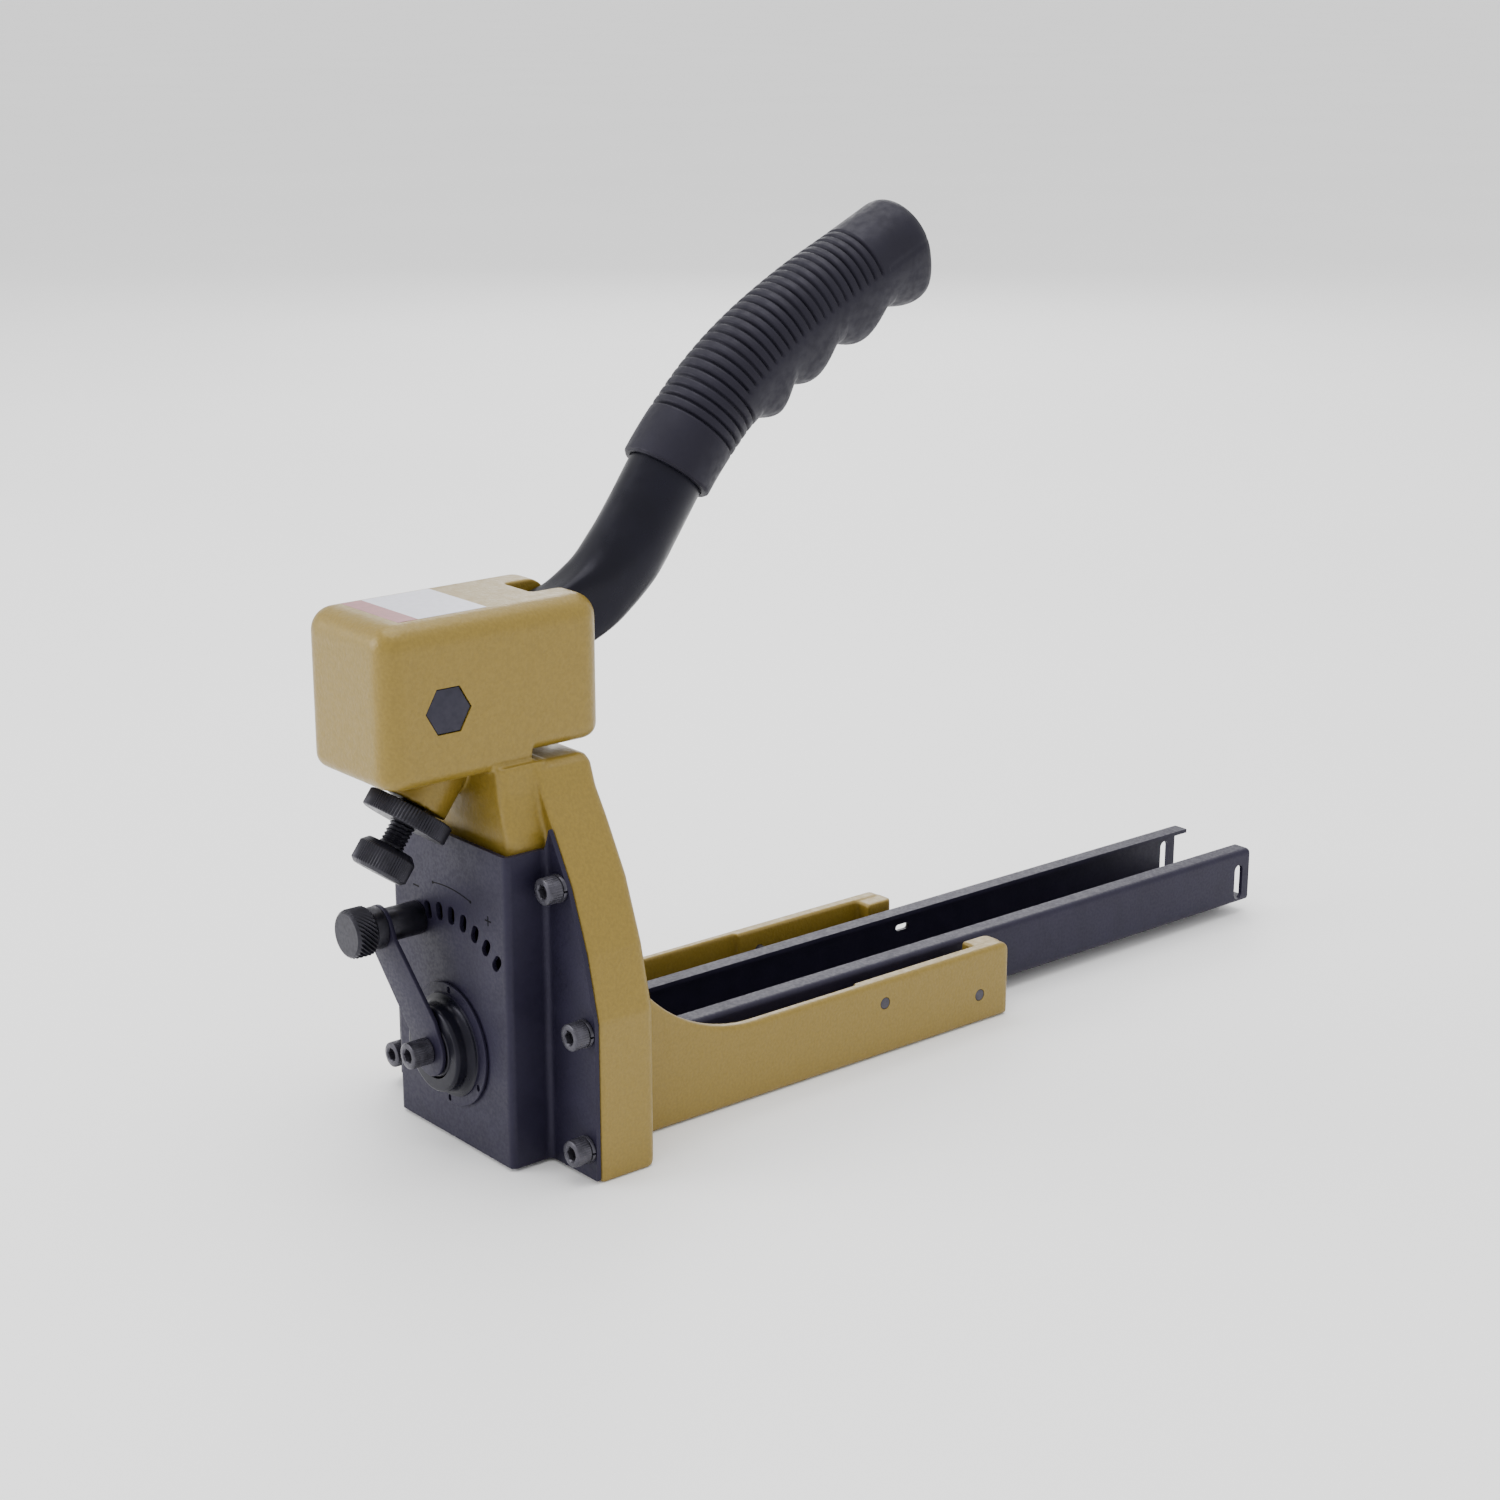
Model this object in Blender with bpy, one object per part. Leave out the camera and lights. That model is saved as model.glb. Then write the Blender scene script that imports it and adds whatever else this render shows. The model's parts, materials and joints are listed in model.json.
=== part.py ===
"""A hand-operated carton-closing stapler for wide-crown staples, as separate solid pieces.

Design frame, in millimetres: X across the tool, Y from the front face of the cover's side flanges to
the rear, Z up from the base. Each finished piece is scaled to metres and moved along Y, so that the
world origin is at the bottom centre of the whole tool.
"""

import math

import bmesh
import bpy
from mathutils import Matrix, Vector

MM = 0.001
MIDDLE_Y = 147.35         # design Y of the world origin
GAP = 0.3                 # between pieces that rest on each other

# Casting
HEAD_HALF_X = 22.5
HEAD_FRONT_Y, HEAD_REAR_Y = -48.8, 30.0
HEAD_BOTTOM_Z, HEAD_REAR_BOTTOM_Z, HEAD_TOP_Z = 125.4, 129.5, 175.0
HEAD_CORNER_R = 7.5
COLUMN_FRONT_Y, COLUMN_REAR_Y = 1.8, 23.0
COLUMN_FLANK = [(55, 0), (55, 52), (49.9, 72.5), (42.7, 92), (33.6, 108.3), (28, 117.2), (25.4, 124.5),
                (22.5, 126.5)]
ARM_INNER_X, ARM_OUTER_X, ARM_END_Y, ARM_TOP_Z = 30.5, 36.0, 195.2, 27.0
ARM_ARC_Y, ARM_ARC_Z, ARM_ARC_R = 80.0, 87.0, 60.0
SLOT_HALF_X = 7.2

# Handle
PIVOT_Y, PIVOT_Z = -27.0, 148.0
LEVER_HALF_X = 6.8
ROLLER_REACH, ROLLER_ANGLE, ROLLER_R = 34.0, 17.0, 5.0
GRIP_R = 15.0

# Cover, shaft and adjusters
SHEET = 1.5
COVER_HALF_X, COVER_FRONT_Y, COVER_TOP_Z = 31.6, -15.0, 102.0
SHAFT_Z = 33.0
HOLE_RADIUS, HOLE_PITCH_DEG, HOLE_COUNT = 42.8, 8.77, 8
LEVER_RADIUS, LEVER_DEG = 41.0, -24.2
LEVER_FACE_Y, LEVER_SHEET, LEVER_RISE = -24.2, 1.4, 5.7
LEVER_RAMP = (8.0, 36.0)            # distances from the shaft
COVER_SCREWS = [(50.3, 10.4), (50.3, 48.4), (38.2, 91.4)]
SCREW_R = 2.5
ADJUST_AT = (-28.4, 110.4)          # Y and Z of the lock disc's centre
ADJUST_DEG = 36.7                   # tilt of the adjuster's axis from vertical

# Magazine, driver and clinchers
MAGAZINE_HALF_X, MAGAZINE_LOW_Z, MAGAZINE_TOP_Z = 20.0, 4.5, 25.5
MAGAZINE_FRONT_Y, MAGAZINE_REAR_Y = 6.7, 343.5
MAGAZINE_PINS = [(136.0, 18.8), (181.0, 10.4)]
CLINCH_X, CLINCH_Z, CLINCH_R = 26.0, 13.0, 20.0
BLADE_FRONT_Y, BLADE_REAR_Y = 3.0, 4.6

FINISHES = {
    "gold_casting": ((0.33, 0.23, 0.07), 0.45, 0.35),
    "black_powder": ((0.035, 0.033, 0.045), 0.5, 0.0),
    "black_rubber": ((0.02, 0.02, 0.027), 0.65, 0.0),
    "black_oxide": ((0.03, 0.03, 0.033), 0.35, 0.8),
    "dark_screw": ((0.09, 0.09, 0.1), 0.4, 0.8),
    "bright_steel": ((0.5, 0.5, 0.52), 0.3, 1.0),
    "bronze": ((0.45, 0.3, 0.12), 0.4, 1.0),
}


# ---------------------------------------------------------------- outlines, as lists of 2-D points

def arc(centre, radius, start, end, steps):
    """Points on an arc from start to end, in degrees."""
    angles = [math.radians(start + (end - start) * i / steps) for i in range(steps + 1)]
    return [(centre[0] + radius * math.cos(a), centre[1] + radius * math.sin(a)) for a in angles]


def circle(radius, centre=(0.0, 0.0), steps=24):
    return arc(centre, radius, 0, 360, steps)[:-1]


def mirrored(half):
    """A closed outline from its right half, listed from the bottom up."""
    return list(half) + [(-x, z) for x, z in reversed(half)]


def rounded_rectangle(half_u, half_v, radius, centre=(0.0, 0.0), steps=4):
    u, v = half_u - radius, half_v - radius
    points = []
    for su, sv, start in ((1, 1, 0), (-1, 1, 90), (-1, -1, 180), (1, -1, 270)):
        points += arc((centre[0] + su * u, centre[1] + sv * v), radius, start, start + 90, steps)
    return points


def slot_outline(centre_near, centre_far, radius_near, radius_far, steps=6):
    """A bar with round ends, between two centres."""
    du, dv = centre_far[0] - centre_near[0], centre_far[1] - centre_near[1]
    heading = math.degrees(math.atan2(dv, du))
    return (arc(centre_far, radius_far, heading - 90, heading + 90, steps)
            + arc(centre_near, radius_near, heading + 90, heading + 270, steps))


def offset(points, distance, closed=True):
    """The outline moved inwards (to the left of its direction of travel) by distance."""
    moved, count = [], len(points)
    for i, here in enumerate(points):
        before = points[i - 1] if closed or i else None
        after = points[(i + 1) % count] if closed or i < count - 1 else None
        sides = [unit(before, here)] if before else []
        sides += [unit(here, after)] if after else []
        nu = -sum(s[1] for s in sides) / len(sides)
        nv = sum(s[0] for s in sides) / len(sides)
        stretch = distance / max(nu * nu + nv * nv, 0.2)
        moved.append((here[0] + nu * stretch, here[1] + nv * stretch))
    return moved


def unit(a, b):
    length = math.dist(a, b)
    return ((b[0] - a[0]) / length, (b[1] - a[1]) / length)


def filleted(points, radius, steps=3):
    """An open path with its inner corners rounded."""
    path = [points[0]]
    for before, here, after in zip(points, points[1:], points[2:]):
        a, b = unit(here, before), unit(here, after)
        start = (here[0] + a[0] * radius, here[1] + a[1] * radius)
        end = (here[0] + b[0] * radius, here[1] + b[1] * radius)
        for i in range(steps + 1):
            t = i / steps
            path.append(tuple((1 - t) ** 2 * start[k] + 2 * t * (1 - t) * here[k] + t * t * end[k]
                              for k in (0, 1)))
    return path + [points[-1]]


def bent_sheet(path, thickness):
    """The closed outline of a sheet that follows an open path."""
    return list(path) + offset(path, thickness, closed=False)[::-1]


# ---------------------------------------------------------------- solids, as bmeshes in millimetres

def skin(rings, closed=False):
    """A closed surface through rings of equally many points."""
    bm = bmesh.new()
    loops = [[bm.verts.new(p) for p in ring] for ring in rings]
    count = len(loops[0])
    pairs = list(zip(loops, loops[1:])) + ([(loops[-1], loops[0])] if closed else [])
    for low, high in pairs:
        for i in range(count):
            j = (i + 1) % count
            bm.faces.new((low[i], low[j], high[j], high[i]))
    if not closed:
        bm.faces.new(loops[0][::-1])
        bm.faces.new(loops[-1])
    bmesh.ops.recalc_face_normals(bm, faces=bm.faces[:])
    return bm


AXES = {
    "x": lambda u, v, w: (w, u, v),      # outline in Y and Z
    "y": lambda u, v, w: (u, w, v),      # outline in X and Z
    "z": lambda u, v, w: (u, v, w),      # outline in X and Y
}


def rounding(face, inward, radius, steps):
    """Levels of an end with a rounded edge, from the face inwards, as (place, inset)."""
    angles = [math.radians(90 * i / steps) for i in range(steps + 1)] if radius else [math.pi / 2]
    return [(face + inward * radius * (1 - math.cos(a)), radius * (1 - math.sin(a))) for a in angles]


def prism(outline, axis, low, high, round_low=0.0, round_high=0.0, steps=3):
    """An outline extruded along an axis, with its end edges rounded by the given radii."""
    levels = rounding(low, 1, round_low, steps) + rounding(high, -1, round_high, steps)[::-1]
    return skin([[AXES[axis](u, v, w) for u, v in offset(outline, inset)] for w, inset in levels])


def block(low, high):
    x, y = (low[0] + high[0]) / 2, (low[1] + high[1]) / 2
    dx, dy = (high[0] - low[0]) / 2, (high[1] - low[1]) / 2
    return prism([(x + dx, y + dy), (x - dx, y + dy), (x - dx, y - dy), (x + dx, y - dy)],
                 "z", low[2], high[2])


def turned(profile, point, direction, closed=False, steps=20):
    """A body of revolution: profile lists (radius, distance from point along direction)."""
    along = Vector(direction).normalized()
    side = along.orthogonal().normalized()
    other = along.cross(side)
    rings = []
    for radius, distance in profile:
        centre = Vector(point) + along * distance
        rings.append([centre + side * u + other * v for u, v in circle(radius, steps=steps)])
    return skin(rings, closed)


def rod(radius, point, direction, start, end, steps=16, chamfer=0.0):
    profile = [(radius, start), (radius, end)]
    if chamfer:
        profile = [(radius - chamfer, start), (radius, start + chamfer),
                   (radius, end - chamfer), (radius - chamfer, end)]
    return turned(profile, point, direction, steps=steps)


def coil(radius, wire_r, foot, height, turns, steps=12, sides=6):
    """A spring that stands on foot along Z, with flat turned ends."""
    rings, total = [], turns * steps
    for i in range(total + 1):
        a, rise = 2 * math.pi * i / steps, wire_r + (height - 2 * wire_r) * i / total
        out = Vector((math.cos(a), math.sin(a), 0))
        centre = Vector(foot) + out * radius + Vector((0, 0, rise))
        rings.append([centre + out * (wire_r * math.cos(b)) + Vector((0, 0, wire_r * math.sin(b)))
                      for b in (2 * math.pi * k / sides for k in range(sides))])
    return skin(rings)


def scratch(bm, name="operand"):
    mesh = bpy.data.meshes.new(name)
    bm.to_mesh(mesh)
    obj = bpy.data.objects.new(name, mesh)
    bpy.context.scene.collection.objects.link(obj)
    return obj


def combined(base, add=(), cut=()):
    """base with the solids in add joined to it and those in cut taken away."""
    main = scratch(base)
    operands = [(scratch(bm), "UNION") for bm in add] + [(scratch(bm), "DIFFERENCE") for bm in cut]
    for obj, operation in operands:
        step = main.modifiers.new("step", "BOOLEAN")
        step.solver = "EXACT"
        step.operation = operation
        step.object = obj
    bpy.context.view_layer.update()
    result = bmesh.new()
    result.from_object(main, bpy.context.evaluated_depsgraph_get())
    for obj in [main] + [o for o, _ in operands]:
        bpy.data.objects.remove(obj)
    return result


# ---------------------------------------------------------------- scene building

def world(point):
    return Vector((point[0], point[1] - MIDDLE_Y, point[2])) * MM


def piece(name, bm, finish, body):
    """A named object with its origin on its body's joint, parented to the body's empty."""
    origin = body.location if body else Vector((0, 0, 0))
    bmesh.ops.transform(bm, matrix=Matrix.Translation(world((0, 0, 0)) - origin)
                        @ Matrix.Scale(MM, 4), verts=bm.verts[:])
    mesh = bpy.data.meshes.new(name)
    bm.to_mesh(mesh)
    bm.free()
    mesh.materials.append(bpy.data.materials[finish])
    mesh.shade_smooth()
    mesh.set_sharp_from_angle(angle=math.radians(35))
    obj = bpy.data.objects.new(name, mesh)
    bpy.context.scene.collection.objects.link(obj)
    obj.parent = body
    return obj


def joint_empty(name, point, parent=None):
    empty = bpy.data.objects.new(name, None)
    bpy.context.scene.collection.objects.link(empty)
    empty.location = world(point)
    if parent:
        empty.parent = parent
        empty.matrix_parent_inverse = Matrix.Translation(-parent.location)
    return empty


def make_materials():
    for name, (colour, roughness, metallic) in FINISHES.items():
        shader = bpy.data.materials.new(name)
        shader.use_nodes = True
        principled = shader.node_tree.nodes["Principled BSDF"]
        principled.inputs["Base Color"].default_value = (*colour, 1.0)
        principled.inputs["Roughness"].default_value = roughness
        principled.inputs["Metallic"].default_value = metallic


# ---------------------------------------------------------------- casting

def head_solid():
    centre_y, half_y = (HEAD_FRONT_Y + HEAD_REAR_Y) / 2, (HEAD_REAR_Y - HEAD_FRONT_Y) / 2
    plan = rounded_rectangle(HEAD_HALF_X, half_y, HEAD_CORNER_R, (0, centre_y))
    upper = prism(plan, "z", HEAD_REAR_BOTTOM_Z, HEAD_TOP_Z, 4.5, 8.0)
    lower = prism(plan, "z", HEAD_BOTTOM_Z, 150, 3.5, 3.0)
    step = block((-30, 2.7, 120), (30, 40, 160))
    return combined(upper, add=[combined(lower, cut=[step])])


def neck_solid():
    rings = []
    for z, half in ((92, 29.4), (104, 29.4), (111, 27.2), (127, 24.2)):
        rings.append([(x, y, z) for x, y in rounded_rectangle(half, 9.0, 3.0, (0, -2.2), 3)])
    return skin(rings)


def column_solid():
    return prism(mirrored(COLUMN_FLANK), "y", COLUMN_FRONT_Y, COLUMN_REAR_Y, 0.6, 3.0)


def arm_solid(side):
    sweep = arc((ARM_ARC_Y, ARM_ARC_Z), ARM_ARC_R, -90, -165, 8)
    corner = arc((ARM_END_Y - 2, ARM_TOP_Z - 2), 2, 0, 90, 3)
    outline = [(19, 0), (ARM_END_Y, 0)] + corner + sweep
    low, high = sorted((side * ARM_INNER_X, side * ARM_OUTER_X))
    rounds = (0.6, 1.5) if side > 0 else (1.5, 0.6)
    return prism(outline, "x", low, high, *rounds)


def end_block(side):
    inner, outer, far = 24.5, ARM_INNER_X + 1, ARM_END_Y - 0.4
    plan = [(side * outer, 183)] + [(side * x, y) for x, y in
                                    ((outer, far), (inner + 2, far), (inner + 0.6, far - 0.6),
                                     (inner, far - 2), (inner, 183))]
    return prism(plan[::side], "z", 0, ARM_TOP_Z - 0.4, 0.4, 0.4, 2)


def adjuster_line():
    a = math.radians(ADJUST_DEG)
    return (0, *ADJUST_AT), (0, math.sin(a), math.cos(a))


def head_slot():
    """The handle's slot through the head, the neck and the column's rear wall."""
    outline = [(-38, 129.5), (-13.5, 129.5), (-3, 122.3), (-3, 90), (18, 90), (18, 103), (34, 103),
               (34, 180), (14, 180), (14, 171), (-38, 171)]
    return prism(outline, "x", -SLOT_HALF_X, SLOT_HALF_X)


def casting_cuts():
    cavity_x = 24.0
    cuts = [
        block((-cavity_x, -20, 31), (cavity_x, 17.5, 90)),
        block((-cavity_x, 5.2, 80), (cavity_x, 17.5, 121)),
        block((-19.4, -20, -5), (19.4, 5.0, 35)),
        block((-20.4, 0, 4.2), (20.4, 30, 25.8)),
        block((-46.7, -20, -5), (-19, 6.8, 34)),
        block((19, -20, -5), (46.7, 6.8, 34)),
        head_slot(),
        rod(4.2, (0, PIVOT_Y, PIVOT_Z), (1, 0, 0), -40, 40),
    ]
    for side in (-1, 1):
        cuts.append(hexagon_pocket(side))
        cuts.append(rod(2.8, (side * CLINCH_X, 0, CLINCH_Z), (0, 1, 0), 5, 14.3, 16))
        cuts += [rod(2.15, (0, y, z), (side, 0, 0), 28, 40, 16) for y, z in MAGAZINE_PINS]
        cuts += [rod(2.75, (side * x, 0, z), (0, 1, 0), 0, 14.3, 16) for x, z in COVER_SCREWS]
    cuts.append(rod(4.3, *adjuster_line(), 0, 27))
    return cuts


def hexagon_pocket(side):
    low, high = sorted((side * 16.6, side * 30))
    return prism(circle(8.05, (PIVOT_Y, PIVOT_Z), 6), "x", low, high)


def make_casting():
    boss = rod(10.4, *adjuster_line(), 4.0, 21)
    parts = [neck_solid(), column_solid(), boss, arm_solid(1), arm_solid(-1), end_block(1), end_block(-1)]
    piece("main_casting", combined(head_solid(), add=parts, cut=casting_cuts()), "gold_casting", None)


# ---------------------------------------------------------------- cover and its fixings

def about_shaft(degrees, radius):
    """X and Z of a point about the depth shaft; degrees run clockwise from straight up."""
    a = math.radians(degrees)
    return radius * math.sin(a), SHAFT_Z + radius * math.cos(a)


def detent_hole(degrees):
    a = math.radians(degrees)
    x, z = about_shaft(degrees, HOLE_RADIUS)
    reach = 1.25
    ends = [(x + s * reach * math.sin(a), z + s * reach * math.cos(a)) for s in (-1, 1)]
    return prism(slot_outline(ends[0], ends[1], 1.75, 1.75, 4), "y", -20, -10)


def make_cover():
    edge = 55.0
    path = filleted([(-edge, 0), (-COVER_HALF_X, 0), (-COVER_HALF_X, COVER_FRONT_Y),
                     (COVER_HALF_X, COVER_FRONT_Y), (COVER_HALF_X, 0), (edge, 0)], 2.0)
    sheet = prism(bent_sheet(path, SHEET), "z", 1.0, 120)
    flank = [(edge - 0.2, 0), (edge - 0.2, 52), (49.7, 72.5), (42.5, 92), (33.2, 108.4),
             (31.9, COVER_TOP_Z)]
    outside = mirrored(flank)
    frame = [(70, -10), (70, 130), (-70, 130), (-70, -10)]
    trim = combined(prism(frame, "y", -40, 20), cut=[prism(outside, "y", -50, 30)])
    cuts = [trim, rod(13.3, (0, 0, SHAFT_Z), (0, 1, 0), -20, -10)]
    cuts += [detent_hole(LEVER_DEG + i * HOLE_PITCH_DEG) for i in range(HOLE_COUNT)]
    for side in (-1, 1):
        cuts += [rod(2.9, (side * x, 0, z), (0, 1, 0), -5, 5, 16) for x, z in COVER_SCREWS]
    piece("front_cover", combined(sheet, cut=cuts), "black_powder", None)


def make_cover_screws():
    places = [(side * x, z) for side in (-1, 1) for x, z in COVER_SCREWS]
    for number, (x, z) in enumerate(places, 1):
        screw = [(2.2, 13.6), (SCREW_R, 13.0), (SCREW_R, -1.5), (4.25, -1.5), (4.25, -6.0), (3.8, -6.5)]
        washer = [(2.7, -1.3), (4.4, -1.3), (4.4, -0.2), (2.7, -0.2)]
        piece(f"cover_screw_{number}", turned(screw, (x, 0, z), (0, 1, 0), steps=12), "dark_screw", None)
        piece(f"cover_washer_{number}", turned(washer, (x, 0, z), (0, 1, 0), True, 12), "dark_screw", None)


def make_shaft_housing():
    profile = [(9.5, -22.5), (13.2, -22.5), (14, -21.6), (14, -18.6), (16.4, -16.2), (20, -16.2),
               (20, -15.3), (13, -15.3), (13, -10.0), (9.5, -10.0)]
    piece("shaft_housing", turned(profile, (0, 0, SHAFT_Z), (0, 1, 0), True, 24), "black_powder", None)


# ---------------------------------------------------------------- magazine and pusher

def make_magazine():
    x, low, top = MAGAZINE_HALF_X, MAGAZINE_LOW_Z, MAGAZINE_TOP_Z
    lip = 12.5
    path = filleted([(-lip, top), (-x, top), (-x, low), (x, low), (x, top), (lip, top)], 2.2)
    channel = prism(bent_sheet(path, SHEET), "y", MAGAZINE_FRONT_Y, MAGAZINE_REAR_Y)
    rear_slot = slot_outline((337.5, 8.2), (337.5, 17.8), 2.25, 2.25, 4)
    side_slot = slot_outline((192.5, 17.3), (196.5, 17.3), 1.2, 1.2, 3)
    cuts = [prism(rear_slot, "x", -30, 30), prism(side_slot, "x", -30, 0)]
    piece("magazine_channel", combined(channel, cut=cuts), "black_powder", None)
    places = [(side, y, z) for side in (-1, 1) for y, z in MAGAZINE_PINS]
    for number, (side, y, z) in enumerate(places, 1):
        pin = rod(2.0, (0, y, z), (side, 0, 0), MAGAZINE_HALF_X + GAP, ARM_OUTER_X, 16, 0.15)
        piece(f"magazine_pin_{number}", pin, "black_oxide", None)


def make_pusher(body):
    half, low, top = 17.6, 6.6, 23.4
    shell = block((-half, 7.0, low), (half, 40.0, top))
    well = block((-9.0, 14, 5), (9.0, 36, top - 1.6))
    crown_relief = block((-14, 5, 5), (14, 10, top - 4))
    piece("pusher_block", combined(shell, cut=[well, crown_relief, rod(1.4, (0, 26, 14), (1, 0, 0), -13, 13, 12)]),
          "bright_steel", body)
    piece("pusher_axle", rod(1.2, (0, 26, 14), (1, 0, 0), -12.6, 12.6, 12), "bright_steel", body)
    piece("pusher_roll_spring", turned([(1.6, -7.5), (6.6, -7.5), (6.6, 7.5), (1.6, 7.5)], (0, 26, 14),
                                       (1, 0, 0), True, 20), "bright_steel", body)


# ---------------------------------------------------------------- handle

# Y, Z, half width across the tool, half depth, and how square the section is (2 is an ellipse)
HANDLE_LINE = [
    (-20, 149.9, 6.8, 9.2, 8), (0, 155.0, 6.8, 10.5, 8), (22, 160.5, 6.8, 11.0, 8),
    (33, 164.2, 6.9, 11.0, 6), (44.2, 170.4, 9.6, 11.8, 3), (54.3, 179.7, 11.8, 12.7, 2.2),
    (62.5, 190.4, 12.0, 12.9, 2), (71.5, 203.1, 12.0, 12.9, 2), (80.5, 214.1, 12.0, 12.9, 2),
    (94.4, 228.1, 12.0, 12.9, 2), (110.4, 240.1, 12.0, 12.9, 2), (130.3, 251.5, 12.0, 12.9, 2),
    (150.7, 261.1, 12.0, 12.9, 2), (172.1, 271.4, 12.0, 12.9, 2),
]
GRIP_START, GRIP_END, BAR_END = 7.0, 13.0, 12.5
FINGER_RIDGES = [9.55, 10.5, 11.6, 12.65]       # places along HANDLE_LINE
FINGER_START, FINGER_BASE, FINGER_RISE = 8.7, 2.4, 3.9


def on_handle(place):
    """The handle line at a place given in stations: a Catmull-Rom curve through HANDLE_LINE."""
    last = len(HANDLE_LINE) - 1
    i = min(max(int(math.floor(place)), 0), last - 1)
    t = place - i
    a, b, c, d = (HANDLE_LINE[min(max(i + k, 0), last)] for k in (-1, 0, 1, 2))
    return tuple(0.5 * (2 * q + (r - p) * t + (2 * p - 5 * q + 4 * r - s) * t * t
                        + (3 * q - p - 3 * r + s) * t ** 3) for p, q, r, s in zip(a, b, c, d))


def handle_ring(place, half_x, half_depth, power, steps=16):
    """A cross-section of the handle; half_depth gives the depth for the sine of a point's angle."""
    y, z = on_handle(place)[:2]
    ahead, behind = on_handle(place + 0.05), on_handle(place - 0.05)
    heading = math.atan2(ahead[1] - behind[1], ahead[0] - behind[0])
    ring = []
    for k in range(steps):
        a = 2 * math.pi * k / steps
        c, s = math.cos(a), math.sin(a)
        scale = (abs(c) ** power + abs(s) ** power) ** (-1 / power)
        depth = half_depth(s) * s * scale
        ring.append((half_x * c * scale, y - math.sin(heading) * depth, z + math.cos(heading) * depth))
    return ring


def plain_ring(place, grow=0.0):
    _, _, half_x, depth, power = on_handle(place)
    return handle_ring(place, half_x + grow, lambda s: depth + grow, power)


def finger_depth(place):
    """How far the grip's underside stands out: its full width, and the narrower ridges between fingers."""
    nearest = min(abs(place - ridge) for ridge in FINGER_RIDGES)
    ridge = max(0.0, math.cos(min(nearest / 0.5, 1.0) * math.pi / 2))
    base = min(max((place - FINGER_START) / (FINGER_RIDGES[0] - FINGER_START), 0.0), 1.0)
    return FINGER_BASE * base, FINGER_RISE * ridge


def finger_relief(place, s):
    """The underside's extra depth at the sine of a point's angle round the grip."""
    base, ridge = finger_depth(place)
    low = min(max((-s - 0.25) / 0.6, 0.0), 1.0)
    return base * min(max(-1.6 * s, 0.0), 1.0) + ridge * low * low * (3 - 2 * low)


def grip_ring(place, radius):
    return handle_ring(place, radius, lambda s: radius + finger_relief(place, s), 2)


def places(start, end, count):
    return [start + (end - start) * i / count for i in range(count + 1)]


def handle_press_point(degrees, reach):
    a = math.radians(degrees)
    return 0, PIVOT_Y + reach * math.cos(a), PIVOT_Z + reach * math.sin(a)


def make_handle(body):
    bar = skin([plain_ring(p) for p in places(0.0, BAR_END, 18)])
    hub = rod(9.5, (0, PIVOT_Y, PIVOT_Z), (1, 0, 0), -LEVER_HALF_X, LEVER_HALF_X, 24)
    fork = prism([(-9, 130), (26, 130), (26, 149), (12.5, 163.6), (-2, 163.6), (-9, 158)], "x", -3.3, 3.3)
    roller = handle_press_point(ROLLER_ANGLE, ROLLER_REACH)
    cuts = [fork, rod(6.2, (0, PIVOT_Y, PIVOT_Z), (1, 0, 0), -20, 20),
            rod(2.1, roller, (1, 0, 0), -20, 20, 16)]
    piece("handle_bar", combined(bar, add=[hub], cut=cuts), "black_powder", body)
    bush = [(4.2, -6.6), (6.0, -6.6), (6.0, 6.6), (4.2, 6.6)]
    piece("pivot_bush", turned(bush, (0, PIVOT_Y, PIVOT_Z), (1, 0, 0), True), "bronze", body)
    wheel = [(2.2, -2.9), (ROLLER_R, -2.9), (ROLLER_R, 2.9), (2.2, 2.9)]
    piece("nose_roller", turned(wheel, roller, (1, 0, 0), True), "bright_steel", body)
    piece("roller_pin", rod(1.9, roller, (1, 0, 0), -6.6, 6.6, 16), "bright_steel", body)


def make_grip(body):
    inside = [plain_ring(p, GAP) for p in places(GRIP_START, BAR_END + 0.03, 9)][::-1]
    collar = [grip_ring(GRIP_START, r) for r in (14.2, 14.8)]
    outside = [grip_ring(p, GRIP_R) for p in places(GRIP_START + 0.05, GRIP_END - 0.15, 28)]
    cap = [grip_ring(GRIP_END - 0.15 + 0.15 * math.sin(a), GRIP_R - 6 + 6 * math.cos(a))
           for a in (math.radians(30 * i) for i in (1, 2, 3))]
    piece("handle_grip", skin(inside + collar + outside + cap), "black_rubber", body)


def make_pivot_bolt():
    flats = circle(7.75, (PIVOT_Y, PIVOT_Z), 6)
    head = prism(flats, "x", 16.9, HEAD_HALF_X - 0.3, 0, 0.3)
    shank = rod(4.0, (0, PIVOT_Y, PIVOT_Z), (1, 0, 0), -21.0, 17.5)
    piece("pivot_bolt", combined(head, add=[shank]), "black_oxide", None)
    nut = prism(flats, "x", 0.3 - HEAD_HALF_X, -16.9, 0.3, 0)
    bore = rod(4.2, (0, PIVOT_Y, PIVOT_Z), (1, 0, 0), -30, -10)
    piece("pivot_nut", combined(nut, cut=[bore]), "black_oxide", None)


# ---------------------------------------------------------------- driver and clinchers

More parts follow.
